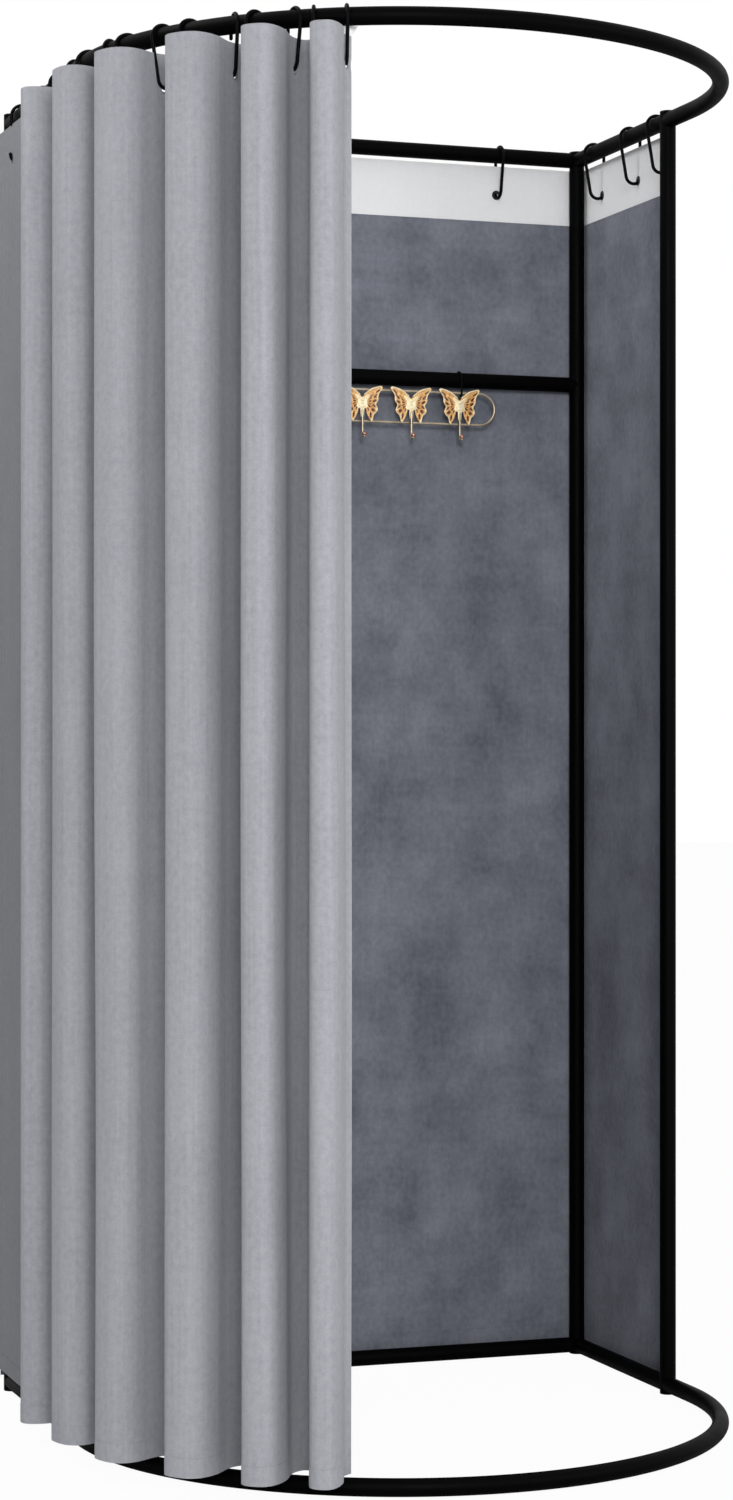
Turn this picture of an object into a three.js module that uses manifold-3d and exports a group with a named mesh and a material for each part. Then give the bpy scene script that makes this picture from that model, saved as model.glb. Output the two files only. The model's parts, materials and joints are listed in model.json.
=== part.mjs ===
// A portable fitting room: a D-shaped frame of round steel tube, three fabric walls hung
// outside its back and sides, a curtain that slides round its bowed front, and a hook rack
// on the crossbar. Millimetres, +Z up, standing on z = 0, the bowed front towards -Y.
import * as THREE from 'three';
import { mergeVertices } from 'three/addons/utils/BufferGeometryUtils.js';
import Module from 'manifold-3d';

const wasm = await Module();
wasm.setup();

// Frame: driving sizes
const overallHeight = 2000;
const tubeRadius = 12.5;
const tubeWall = 1.2;
const bowRadius = 480; // centre line of the bowed front, also half the width between posts
const postSetback = 82; // straight stretch of each bow, from the half circle back to the front posts
const sideSpan = 364; // front post to back post, centre to centre
const crossbarDrop = 373.5; // between the centre lines of the top rails and the crossbar
const capThickness = 2;
const plugLength = 9;
const spigotLength = 34; // how far each welded spigot reaches out of its post
const spigotWall = 1.5;
const plugClearance = 0.5;
const touchGap = 0.3;
const weldGap = 0.001; // points of one solid that lie closer than this are one point

// Cloth: driving sizes
const clothThickness = 1.6;
const wallOffset = 14.8; // rail's centre line to the inner face of a wall sheet
const wallHeader = 49.5; // a hook's lowest point up to the sheet's top
const wallHem = 22; // floor up to the sheet's hem
const wallOverlap = 6; // how far a side sheet runs past the front post's centre
const curtainHeader = 43.5;
const curtainHem = 30;
const curtainLength = 611; // rail covered by the curtain, measured from the left front post
const foldReach = 95; // furthest fold, outwards from the rail's centre line
const foldMiddle = 36;
const valleyDepth = 20; // valleys, inwards from the rail's centre line
const foldPower = 2.5; // 2 is a half ellipse, more is squarer
const foldStart = 17.6; // where the first fold leaves the wall sheet
const freeEdge = 12; // last fold's flank to the curtain's free edge
const lastValleyHalf = 30;
const foldCentreShares = [0.0295, 0.2586, 0.4599, 0.6678, 0.8257, 0.955];
const foldHalfShares = [0.036, 0.0524, 0.054, 0.0507, 0.0393, 0.0327];
const foldReachShares = [0.78, 0.71, 0.83, 0.97, 1, 0.97];
const eyeletRadius = 5;

// Hooks: driving sizes
const wireRadius = 2;
const hookCurl = 17.5; // centre line of the curl over the rail
const hookShortLeg = 15; // rail's centre down to the short leg's tip
const hookDrop = 68; // rail's centre down to the lowest point of the centre line
const hookBend = 13; // centre line of the lower bend
const wallHookBendOffset = 6; // lower bend's centre, from the rail's centre towards the cloth
const curtainHookBendOffset = 5;
const hookTurn = THREE.MathUtils.degToRad(25); // curtain hooks are turned towards the cloth
const curtainPierce = -2; // where the cloth sits on the wire, from under the rail's centre
const backHookShares = [0.144, 0.5, 0.856];
const sideHookShares = [0.2, 0.6, 0.885];

// Rack: driving sizes
const rackWireRadius = 2.25;
const rackHeight = 51.5; // between the centre lines of the loop's two long wires
const rackDrop = 22; // crossbar's centre down to the loop's top wire
const rackEndReach = 65; // last ornament's centre to the loop's end
const rackShift = 12; // rack's centre, right of the crossbar's centre
const ornamentPitch = 84.5;
const ornamentCount = 7;
const ornamentWidth = 68.6;
const ornamentHeight = 55;
const ornamentThickness = 1.8;
const pegWireRadius = 2;
const pegReach = 16; // how far a peg's tip stands in front of its stem
const pegDrop = 29; // loop's bottom wire down to the lowest point of a peg's centre line
const pegBallRadius = 4;
const hangerWireRadius = 1.8;
const hangerShift = 4; // hangers, right of the first and last ornaments
const hangerWrap = THREE.MathUtils.degToRad(55); // past the crown, towards the back sheet

// Counts of facets
const tubeSides = 16;
const bowSides = 12;
const bowSteps = 32;
const plugSides = 8;
const wireSides = 5;
const openingSides = 6;
const ballSides = 6;
const bendSteps = 6;
const foldSteps = 8;

// Places that follow from the driving sizes
const tubeInner = tubeRadius - tubeWall;
const lowRail = capThickness + tubeRadius;
const highRail = overallHeight - capThickness - tubeRadius;
const crossbarHeight = highRail - crossbarDrop;
const wallTop = highRail - hookDrop + wallHeader;
const curtainTop = highRail - hookDrop + curtainHeader;
const backDepth = postSetback + sideSpan;
const wallOuter = wallOffset + clothThickness;
const hookTip = hookBend + wallHookBendOffset + wireRadius; // a wall hook's reach past its rail
const centreX = (foldReach * foldReachShares[0] - hookTip) / 2;
const centreY = (bowRadius + tubeRadius - backDepth - hookTip) / 2;
const boreRadius = tubeInner / Math.cos(Math.PI / bowSides);
const spigotRadius = tubeInner - plugClearance;
// Bends and bows are made of chords, which lie this much inside their arcs.
const chordRise = 1 - Math.cos(Math.PI / bendSteps / 2); // as a share of the radius
const bowSag = bowRadius * (1 - Math.cos(Math.PI / bowSteps / 2));

// Materials
const finish = (color, roughness, metalness) =>
  new THREE.MeshStandardMaterial({ color, roughness, metalness });
const blackSteel = () => finish(0x0b0b0d, 0.35, 0.3);
const blackPlastic = () => finish(0x141416, 0.6, 0);
const greyCloth = () => finish(0x9fa0a5, 0.9, 0);
const slateCloth = () => finish(0x646770, 0.9, 0);
const goldSteel = () => finish(0xc89a4c, 0.3, 0.8);

const fittingRoom = new THREE.Group();
fittingRoom.position.set(centreX, centreY, 0);

function add(name, geometry, material) {
  const mesh = new THREE.Mesh(geometry, material);
  mesh.name = name;
  fittingRoom.add(mesh);
  return mesh;
}

// Solids: geometry to manifold and back

function solid(geometry) {
  const bare = geometry.clone();
  bare.deleteAttribute('normal');
  bare.deleteAttribute('uv');
  const merged = mergeVertices(bare, weldGap);
  return new wasm.Manifold(
    new wasm.Mesh({
      numProp: 3,
      vertProperties: new Float32Array(merged.attributes.position.array),
      triVerts: new Uint32Array(merged.index.array),
    }),
  );
}

function shell(manifold) {
  const mesh = manifold.getMesh();
  const geometry = new THREE.BufferGeometry();
  geometry.setAttribute('position', new THREE.BufferAttribute(mesh.vertProperties, 3));
  geometry.setIndex(new THREE.BufferAttribute(mesh.triVerts, 1));
  return geometry;
}

const at = (x, y, z) => new THREE.Vector3(x, y, z);
const along = { x: at(1, 0, 0), y: at(0, 1, 0), z: at(0, 0, 1) };

// A round bar from one point to another.
function bar(radius, from, to, sides) {
  const way = to.clone().sub(from);
  const geometry = new THREE.CylinderGeometry(radius, radius, way.length(), sides);
  const turn = new THREE.Quaternion().setFromUnitVectors(along.y, way.clone().normalize());
  geometry.applyQuaternion(turn);
  const middle = from.clone().add(to).divideScalar(2);
  geometry.translate(middle.x, middle.y, middle.z);
  return solid(geometry);
}

function ball(radius, centre) {
  const geometry = new THREE.SphereGeometry(radius, ballSides, ballSides / 2);
  geometry.translate(centre.x, centre.y, centre.z);
  return solid(geometry);
}

// A path through chosen points, one extrusion step from each point to the next.
class Path extends THREE.Curve {
  constructor(points) {
    super();
    this.points = points;
  }
  getPoint(share) {
    const place = share * (this.points.length - 1);
    const index = Math.min(Math.floor(place), this.points.length - 2);
    return this.points[index].clone().lerp(this.points[index + 1], place - index);
  }
  getUtoTmapping(share) {
    return share;
  }
}

function ring(radius, sides) {
  const points = [];
  for (let i = 0; i < sides; i += 1) {
    const angle = (i / sides) * 2 * Math.PI;
    points.push(new THREE.Vector2(radius * Math.cos(angle), radius * Math.sin(angle)));
  }
  return points;
}

// A tube or a wire along a path: bore 0 makes it solid.
function sweep(points, radius, bore, sides) {
  const section = new THREE.Shape(ring(radius, sides));
  if (bore > 0) section.holes.push(new THREE.Path(ring(bore, sides)));
  return new THREE.ExtrudeGeometry(section, {
    steps: points.length - 1,
    bevelEnabled: false,
    extrudePath: new Path(points),
  });
}

// Points of an arc in a plane given by two directions, from one angle to another.
function arc(centre, first, second, radius, from, to, steps) {
  const points = [];
  for (let i = 0; i <= steps; i += 1) {
    const angle = from + ((to - from) * i) / steps;
    points.push(
      centre
        .clone()
        .addScaledVector(first, radius * Math.cos(angle))
        .addScaledVector(second, radius * Math.sin(angle)),
    );
  }
  return points;
}

// The posts' places in plan: the half circle's centre is at x = 0, y = 0
const posts = [
  { name: 'front_left', x: -bowRadius, y: postSetback },
  { name: 'front_right', x: bowRadius, y: postSetback },
  { name: 'back_left', x: -bowRadius, y: backDepth },
  { name: 'back_right', x: bowRadius, y: backDepth },
];

// A post: an open tube with short spigots welded to it where the rails push on.
function post({ name, x, y }) {
  const low = at(x, y, capThickness + touchGap);
  const high = at(x, y, overallHeight - capThickness - touchGap);
  const isBack = y === backDepth;
  const inward = -Math.sign(x);
  const places = [];
  for (const height of [lowRail, highRail]) {
    places.push([height, at(0, isBack ? -1 : 1, 0)]);
    places.push([height, isBack ? at(inward, 0, 0) : at(0, -1, 0)]);
  }
  if (isBack) places.push([crossbarHeight, at(inward, 0, 0)]);
  let body = bar(tubeRadius, low, high, tubeSides);
  for (const [height, direction] of places) {
    const foot = at(x, y, height);
    const tip = foot.clone().addScaledVector(direction, spigotLength);
    const past = tip.clone().addScaledVector(direction, touchGap);
    const root = foot.clone().addScaledVector(direction, tubeRadius + touchGap);
    body = body.add(bar(spigotRadius, foot, tip, plugSides));
    body = body.subtract(bar(spigotRadius - spigotWall, root, past, plugSides));
  }
  const bore = bar(tubeInner, low.clone().setZ(0), high.clone().setZ(overallHeight), tubeSides);
  add(`post_${name}`, shell(body.subtract(bore)), blackSteel());
}

// A cap or a foot: a disc with a plug that pushes into the post.
function cap(name, x, y, plane, direction, material) {
  const face = at(x, y, plane);
  const shoulder = face.clone().addScaledVector(along.z, direction * capThickness);
  const tip = shoulder.clone().addScaledVector(along.z, direction * plugLength);
  const body = bar(tubeRadius, face, shoulder, tubeSides).add(
    bar(tubeInner - plugClearance, face, tip, plugSides),
  );
  add(name, shell(body), material);
}

for (const place of posts) {
  post(place);
  cap(`cap_${place.name}`, place.x, place.y, overallHeight, -1, blackPlastic());
  cap(`foot_${place.name}`, place.x, place.y, 0, 1, blackPlastic());
}

// Rails: tubes whose ends are cut to the posts that they meet

function cutAtPosts(body) {
  let cut = body;
  for (const { x, y } of posts) {
    cut = cut.subtract(bar(tubeRadius + touchGap, at(x, y, 0), at(x, y, overallHeight), tubeSides));
  }
  return cut;
}

// Each neighbour is a solid that the rail's end is also cut to.
function straightRail(name, from, to, neighbours) {
  const way = to.clone().sub(from).normalize();
  const bore = bar(
    tubeInner,
    from.clone().addScaledVector(way, -tubeRadius),
    to.clone().addScaledVector(way, tubeRadius),
    tubeSides,
  );
  let body = cutAtPosts(bar(tubeRadius, from, to, tubeSides).subtract(bore));
  for (const neighbour of neighbours) body = body.subtract(neighbour);
  add(name, shell(body), blackSteel());
}

function bow(name, height) {
  const turns = arc(at(0, 0, height), along.x, along.y, bowRadius, Math.PI, 2 * Math.PI, bowSteps);
  const points = [at(-bowRadius, postSetback, height), ...turns, at(bowRadius, postSetback, height)];
  const tube = solid(sweep(points, tubeRadius, boreRadius, bowSides));
  add(name, shell(cutAtPosts(tube)), blackSteel());
}

for (const [level, height] of [['bottom', lowRail], ['top', highRail]]) {
  bow(`${level}_front_bow`, height);
  const left = at(-bowRadius, backDepth, height);
  const right = at(bowRadius, backDepth, height);
  const spigots = [left, right].map((corner) => {
    const tip = corner.clone().addScaledVector(along.y, -spigotLength);
    return bar(spigotRadius + touchGap, corner, tip, plugSides);
  });
  straightRail(`${level}_back_rail`, left, right, spigots);
  const backRail = bar(tubeRadius + touchGap, left, right, tubeSides);
  for (const [side, corner] of [['left', left], ['right', right]]) {
    const front = corner.clone().setY(postSetback);
    straightRail(`${level}_${side}_rail`, front, corner, [backRail]);
  }
}
const crossbarEnds = [-bowRadius, bowRadius].map((x) => at(x, backDepth, crossbarHeight));
straightRail('crossbar', ...crossbarEnds, []);

// Hooks: one bent wire in the plane of `out` and z, its long leg on the side away from `out`,
// its lower bend reaching through the cloth on the side of `out`. A rail's `sag` is how far
// its facets lie inside its true curve.
const wallHook = { bendOffset: wallHookBendOffset, sag: 0 };
const curtainHook = { bendOffset: curtainHookBendOffset, sag: bowSag };

function hookPoints(centre, out, { bendOffset, sag }) {
  const crown = tubeRadius + wireRadius + touchGap + sag + hookCurl * chordRise;
  const curlCentre = centre.clone().addScaledVector(along.z, crown - hookCurl);
  const bendCentre = centre
    .clone()
    .addScaledVector(out, bendOffset)
    .addScaledVector(along.z, hookBend - hookDrop);
  const tip = centre.clone().addScaledVector(out, hookCurl).addScaledVector(along.z, -hookShortLeg);
  return [
    tip,
    ...arc(curlCentre, out, along.z, hookCurl, 0, Math.PI, bendSteps),
    ...arc(bendCentre, out, along.z, hookBend, Math.PI, 2 * Math.PI, bendSteps),
  ];
}

function hook(name, centre, out, form) {
  add(name, sweep(hookPoints(centre, out, form), wireRadius, 0, wireSides), blackSteel());
}

// What a hook takes out of the cloth at `reach` from under the rail's centre: a round eyelet
// whose upper rim rests on the wire, and the wire itself.
function eyelet(centre, out, reach, form) {
  const across = reach + clothThickness / 2 - form.bendOffset;
  const rise = Math.sqrt(hookBend ** 2 - across ** 2);
  const wireTop = hookBend - hookDrop - rise + (wireRadius * hookBend) / rise;
  const height = wireTop + hookBend * chordRise + touchGap - eyeletRadius;
  const middle = centre.clone().addScaledVector(out, reach).addScaledVector(along.z, height);
  const half = eyeletRadius + clothThickness;
  const hole = bar(
    eyeletRadius,
    middle.clone().addScaledVector(out, -half),
    middle.clone().addScaledVector(out, half),
    bowSides,
  );
  const wire = sweep(hookPoints(centre, out, form), wireRadius + touchGap, 0, wireSides);
  return hole.add(solid(wire));
}

// Walls: a flat sheet hung outside each straight rail, on three hooks. It runs past the
// rail's two ends by its overruns.
function wall(name, from, to, out, hookShares, [startOverrun, endOverrun]) {
  const way = to.clone().sub(from);
  const length = way.length() + startOverrun + endOverrun;
  const geometry = new THREE.BoxGeometry(length, clothThickness, wallTop - wallHem);
  geometry.rotateZ(Math.atan2(way.y, way.x));
  const reach = wallOffset + clothThickness / 2;
  const middle = from
    .clone()
    .lerp(to, 1 / 2)
    .addScaledVector(way.normalize(), (endOverrun - startOverrun) / 2)
    .addScaledVector(out, reach);
  geometry.translate(middle.x, middle.y, (wallTop + wallHem) / 2);
  let sheet = solid(geometry);
  hookShares.forEach((share, index) => {
    const centre = from.clone().lerp(to, share);
    hook(`wall_hook_${name}_${index + 1}`, centre, out, wallHook);
    sheet = sheet.subtract(eyelet(centre, out, reach, wallHook));
  });
  add(`wall_sheet_${name}`, shell(sheet), slateCloth());
}

const backCorners = [-bowRadius, bowRadius].map((x) => at(x, backDepth, highRail));
const backOverrun = wallOffset - touchGap;
wall('back', ...backCorners, along.y, backHookShares, [backOverrun, backOverrun]);
for (const [index, side] of ['left', 'right'].entries()) {
  const back = backCorners[index];
  const front = back.clone().setY(postSetback);
  wall(side, back, front, at(Math.sign(back.x), 0, 0), sideHookShares, [wallOuter, wallOverlap]);
}

// Curtain: places are given by the run along the rail from the left front post, and the
// offset outwards from the rail's centre line.

function onRail(run, offset, height) {
  const reach = bowRadius + offset;
  if (run < postSetback) return at(-reach, postSetback - run, height);
  const angle = (run - postSetback) / bowRadius;
  return at(-reach * Math.cos(angle), -reach * Math.sin(angle), height);
}

// A rounded half wave from one angle to another: a crest goes from PI down to 0, a valley
// from PI to 2 PI.
function halfWave(centre, half, height, from, to) {
  const points = [];
  for (let i = 0; i <= foldSteps; i += 1) {
    const angle = from + ((to - from) * i) / foldSteps;
    const [across, up] = [Math.cos(angle), Math.sin(angle)];
    points.push({
      run: centre + half * Math.sign(across) * Math.abs(across) ** (2 / foldPower),
      offset: foldMiddle + height * Math.sign(up) * Math.abs(up) ** (2 / foldPower),
    });
  }
  return points;
}

const folds = foldCentreShares.map((share, index) => ({
  centre: share * curtainLength,
  half: foldHalfShares[index] * curtainLength,
  reach: foldReachShares[index] * foldReach,
}));
const valleyHeight = foldMiddle + valleyDepth;
const valleys = folds.map((fold, index) => {
  const start = fold.centre + fold.half;
  const next = folds[index + 1];
  const half = next ? (next.centre - next.half - start) / 2 : lastValleyHalf;
  return { start, half, centre: start + half };
});

// The angle at which a half wave is a given share of its half width from its centre.
const waveAngle = (across) => Math.acos(Math.abs(across) ** (foldPower / 2));

// A hook's run along the rail: its wire pierces the valley's shoulder under the rail.
function shoulder(valley, side) {
  const offset = curtainPierce * Math.cos(hookTurn);
  const depthShare = (foldMiddle - offset) / valleyHeight;
  const acrossShare = (1 - depthShare ** foldPower) ** (1 / foldPower);
  return valley.centre - side * valley.half * acrossShare - side * curtainPierce * Math.sin(hookTurn);
}

// side 1 is the shoulder at a fold's right, where the next valley starts; -1 is the valley's end.
function addCurtainHook(number, run, side) {
  const radial = onRail(run, 1, 0).sub(onRail(run, 0, 0));
  const inward = radial.applyAxisAngle(along.z, side * hookTurn).negate();
  const centre = onRail(run, 0, highRail);
  hook(`curtain_hook_${String(number).padStart(2, '0')}`, centre, inward, curtainHook);
  return eyelet(centre, inward, -curtainPierce, curtainHook);
}

// A strip of cloth that follows a line in plan, from hem to header.
function cloth(line) {
  const flat = line.map(({ run, offset }) => onRail(run, offset, 0));
  const sides = [1, -1].map((side) =>
    flat.map((point, index) => {
      const before = flat[Math.max(index - 1, 0)];
      const after = flat[Math.min(index + 1, flat.length - 1)];
      const way = after.clone().sub(before).normalize();
      const shift = (side * clothThickness) / 2;
      return new THREE.Vector2(point.x + way.y * shift, point.y - way.x * shift);
    }),
  );
  const outline = new THREE.Shape([...sides[0], ...sides[1].reverse()]);
  const geometry = new THREE.ExtrudeGeometry(outline, {
    depth: curtainTop - curtainHem,
    steps: 1,
    bevelEnabled: false,
  });
  geometry.translate(0, 0, curtainHem);
  return solid(geometry);
}

// The angles at which the first fold starts and the last one ends.
const firstShare = ((foldMiddle - foldStart) / valleyHeight) ** (foldPower / 2);
const firstAngle = 2 * Math.PI - Math.asin(firstShare);
const lastAngle = Math.PI + waveAngle(1 - freeEdge / lastValleyHalf);
const gapAngle = touchGap / lastValleyHalf;
const valleyFloor = 1.5 * Math.PI;

folds.forEach((fold, index) => {
  const before = valleys[index - 1] ?? { centre: fold.centre - 2 * fold.half, half: fold.half };
  const after = valleys[index];
  const startAngle = index > 0 ? valleyFloor + gapAngle : firstAngle;
  const endAngle = index < folds.length - 1 ? valleyFloor - gapAngle : lastAngle;
  const line = [
    ...halfWave(before.centre, before.half, valleyHeight, startAngle, 2 * Math.PI).slice(0, -1),
    ...halfWave(fold.centre, fold.half, fold.reach - foldMiddle, Math.PI, 0).slice(0, -1),
    ...halfWave(after.centre, after.half, valleyHeight, Math.PI, endAngle),
  ];
  let body = cloth(line);
  if (index > 0) body = body.subtract(addCurtainHook(2 * index, shoulder(before, -1), -1));
  body = body.subtract(addCurtainHook(2 * index + 1, shoulder(after, 1), 1));
  add(`curtain_fold_${index + 1}`, shell(body), greyCloth());
});

// Rack: a wire loop hung under the crossbar, with ornaments whose stems end in pegs
const rackTop = crossbarHeight - rackDrop;
const rackBottom = rackTop - rackHeight;
const hangerCurl = (tubeRadius + touchGap + hangerWireRadius) / (1 - chordRise);
const hangerBend = (rackWireRadius + touchGap + hangerWireRadius) / (1 - chordRise);
const rackDepth = backDepth - hangerCurl + hangerBend;
const ornamentDepth = rackDepth - rackWireRadius - touchGap - ornamentThickness / 2;

const ornamentPlaces = [];
for (let i = 0; i < ornamentCount; i += 1) {
  ornamentPlaces.push(rackShift + (i - (ornamentCount - 1) / 2) * ornamentPitch);
}

function rackLoop() {
  const half = rackHeight / 2;
  const endX = ornamentPlaces[ornamentCount - 1] - rackShift + rackEndReach - half - rackWireRadius;
  // Each half runs a little past the middle, so that the two weld into one loop.
  const halves = [1, -1].map((side) => {
    const past = rackShift - side * rackWireRadius;
    const centre = at(rackShift + side * endX, rackDepth, rackTop - half);
    const outwards = at(side, 0, 0);
    const turn = arc(centre, outwards, along.z, half, -Math.PI / 2, Math.PI / 2, 2 * bendSteps);
    const line = [at(past, rackDepth, rackBottom), ...turn, at(past, rackDepth, rackTop)];
    return solid(sweep(line, rackWireRadius, 0, wireSides));
  });
  return halves[0].add(halves[1]);
}

// Half of the ornament's outline, in shares of its half width and its height, bottom to top.
const wingShares = [
  [0, 0.3],
  [0.18, 0.22],
  [0.3, 0.04],
  [0.46, 0],
  [0.62, 0.16],
  [0.72, 0.36],
  [0.8, 0.46],
  [0.93, 0.68],
  [1, 0.94],
  [0.88, 1],
  [0.5, 0.9],
  [0.2, 0.74],
  [0.1, 0.79],
  [0, 0.79],
];
// Openings in a wing: centre, then half width and half height, in the same shares.
const wingOpeningShares = [
  [0.72, 0.78, 0.15, 0.1],
  [0.42, 0.62, 0.13, 0.1],
  [0.44, 0.26, 0.12, 0.12],
];

function ornament() {
  const halfWidth = ornamentWidth / 2;
  const place = (across, up) =>
    new THREE.Vector2(across * halfWidth, rackBottom + up * ornamentHeight);
  const right = wingShares.map(([across, up]) => place(across, up));
  const left = wingShares.slice(1, -1).map(([across, up]) => place(-across, up));
  const shape = new THREE.Shape([...right, ...left.reverse()]);
  for (const side of [-1, 1]) {
    for (const [across, up, wide, high] of wingOpeningShares) {
      const corners = ring(1, openingSides).map((corner) =>
        place(side * (across + corner.x * wide), up + corner.y * high),
      );
      shape.holes.push(new THREE.Path(corners));
    }
  }
  const plate = new THREE.ExtrudeGeometry(shape, { depth: ornamentThickness, bevelEnabled: false });
  plate.rotateX(Math.PI / 2);
  plate.translate(0, ornamentDepth + ornamentThickness / 2, 0);
  const stemDepth = ornamentDepth - ornamentThickness / 2 - pegWireRadius / 2;
  const bend = pegReach / 2;
  const bendCentre = at(0, stemDepth - bend, rackBottom - pegDrop + bend);
  const line = [
    at(0, stemDepth, rackBottom + ornamentHeight / 2),
    ...arc(bendCentre, along.y, along.z, bend, 0, -Math.PI, bendSteps),
  ];
  return solid(plate)
    .add(solid(sweep(line, pegWireRadius, 0, wireSides)))
    .add(ball(pegBallRadius, line[line.length - 1]));
}

// A hanger: over the crossbar, down its inner side and back under the loop's top wire.
function hanger(x) {
  const crown = at(x, backDepth, crossbarHeight);
  const seat = at(x, rackDepth, rackTop);
  return sweep(
    [
      ...arc(crown, along.y, along.z, hangerCurl, Math.PI / 2 - hangerWrap, Math.PI, bendSteps),
      ...arc(seat, along.y, along.z, hangerBend, Math.PI, 2 * Math.PI, bendSteps),
    ],
    hangerWireRadius,
    0,
    wireSides,
  );
}

add('rack_loop', shell(rackLoop()), goldSteel());
ornamentPlaces.forEach((x, index) => {
  const piece = shell(ornament());
  piece.translate(x, 0, 0);
  add(`rack_butterfly_${index + 1}`, piece, goldSteel());
});
add('rack_hanger_left', hanger(ornamentPlaces[0] + hangerShift), blackSteel());
add('rack_hanger_right', hanger(ornamentPlaces[ornamentCount - 1] + hangerShift), blackSteel());

export default fittingRoom;
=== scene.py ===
# Looks of a portable fitting room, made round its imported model. Metres, +Z up, the bowed
# front towards -Y. Places are measured from the centre of the half circle that the front makes.
import json
import math

import bmesh
import bpy
import numpy as np
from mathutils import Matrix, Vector


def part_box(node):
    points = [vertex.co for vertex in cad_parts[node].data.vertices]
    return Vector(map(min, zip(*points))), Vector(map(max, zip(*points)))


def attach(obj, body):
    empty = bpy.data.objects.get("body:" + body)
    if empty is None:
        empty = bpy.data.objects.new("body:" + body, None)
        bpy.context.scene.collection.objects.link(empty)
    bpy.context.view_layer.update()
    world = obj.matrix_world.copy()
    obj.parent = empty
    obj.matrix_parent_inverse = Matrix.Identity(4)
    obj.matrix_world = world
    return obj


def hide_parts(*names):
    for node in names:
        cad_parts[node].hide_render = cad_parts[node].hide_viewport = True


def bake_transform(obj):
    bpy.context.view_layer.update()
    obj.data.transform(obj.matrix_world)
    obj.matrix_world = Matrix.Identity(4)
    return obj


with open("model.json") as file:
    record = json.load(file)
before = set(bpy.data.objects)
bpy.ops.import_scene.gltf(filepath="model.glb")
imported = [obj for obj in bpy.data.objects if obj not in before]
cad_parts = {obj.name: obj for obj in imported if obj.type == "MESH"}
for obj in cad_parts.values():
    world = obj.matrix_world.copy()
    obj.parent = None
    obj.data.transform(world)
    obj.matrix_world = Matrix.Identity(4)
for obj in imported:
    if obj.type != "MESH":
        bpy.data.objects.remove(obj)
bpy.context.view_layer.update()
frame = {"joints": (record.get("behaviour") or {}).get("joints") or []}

# Frame
half_circle = next(joint for joint in frame["joints"] if joint["name"] == "curtain_run_01")
CENTRE = np.array([half_circle["pos_m"][0], half_circle["pos_m"][1], 0.0])
OVERALL_HEIGHT = 2.0
TUBE_RADIUS = 0.0125
TUBE_WALL = 0.0012
BOW_RADIUS = 0.48
POST_SETBACK = 0.082
SIDE_SPAN = 0.364
CROSSBAR_DROP = 0.3735
CAP_THICKNESS = 0.002
PLUG_LENGTH = 0.009
PLUG_CLEARANCE = 0.0005
SPIGOT_LENGTH = 0.034
SPIGOT_WALL = 0.0015
TOUCH_GAP = 0.0003
TUBE_CHAMFER = 0.0004
CAP_ROUNDING = 0.0009
CAP_RIB_SHARES = (0.3, 0.55, 0.8)  # of the plug's length

# Cloth
CLOTH_THICKNESS = 0.0016
WALL_OFFSET = 0.0148
WALL_HEADER = 0.053
WALL_HEMS = {"back": 0.022, "left": 0.032, "right": 0.019}
LEFT_OVERLAP = 0.006
RIGHT_OVERLAP = -0.008
CURTAIN_HEADER = 0.0435
CURTAIN_HEM = 0.03
CURTAIN_LENGTH = 0.611
FOLD_REACH = 0.095
FOLD_MIDDLE = 0.036
VALLEY_DEPTH = 0.02
FOLD_POWER = 2.5
CREST_POWER = 2.8
FOLD_LEAN = 0.006  # how far a fold leans along the rail, once it is FOLD_LEAN_DEPTH out
FOLD_LEAN_DEPTH = 0.05
LAST_FOLD_LEAN = 0.0025  # added to the lean of the last fold's far side
LAST_FLANK_SHIFT = -0.005  # how far that far side and the last hook stand back along the rail
FOLD_START = 0.0176
FREE_EDGE = 0.0102
LAST_VALLEY_HALF = 0.03
FOLD_CENTRE_SHARES = [0.0295, 0.2586, 0.4599, 0.6678, 0.8257, 0.955]
FOLD_HALF_SHARES = [0.036, 0.0524, 0.054, 0.0507, 0.0393, 0.0327]
FOLD_REACH_SHARES = [0.78, 0.71, 0.83, 0.97, 1, 0.97]
TAPE_HEIGHT = 0.088
WALL_TAPE_HEIGHT = 0.0915
TAPE_THICKNESS = 0.0006
TAPE_GAP = 0.00005  # between a tape and its cloth
HEM_HEIGHT = 0.026
SIDE_HEM = 0.014
HEM_SWELL = 0.0004
EYELET_RADIUS = 0.0037
LAST_EYELET_RADIUS = 0.005  # the one by the curtain's free edge is a wider one
FLANGE_WIDTH = 0.0024
WALL_FLANGE_WIDTH = 0.0042
FLANGE_RISE = 0.0007
BARREL_WALL = 0.0004
PATCH = 0.009  # half the side of the finely meshed square round an eyelet
WALL_STEP = 0.011  # between a wall's grid lines
CURTAIN_STEP = 0.0035  # between the curtain's columns
CURTAIN_ROW_STEP = 0.012
NUDGE = 0.0005  # between points that give a cloth's direction

# Hooks
WIRE_RADIUS = 0.0026
HOOK_CURL = 0.0175
HOOK_SHORT_LEG = 0.015
HOOK_DROP = 0.068
SIDE_HOOK_DROP = 0.074
HOOK_BEND = 0.013
WALL_HOOK_BEND_OFFSET = 0.006
CURTAIN_HOOK_BEND_OFFSET = 0.005
HOOK_TURN = math.radians(25)
HUNG_TURNS = {5: -18, 7: 45, 9: 48, 10: 12, 11: 14}  # degrees, for the wires that hang askew
HUNG_DROPS = {5: 0.072, 11: 0.062}  # and for those that hang lower or higher
CURTAIN_PIERCE = -0.002
BACK_HOOK_SHARES = [0.144, 0.5, 0.856]
SIDE_HOOK_SHARES = [0.2, 0.6, 0.885]
SEAT_GAP = 0.0001

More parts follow.
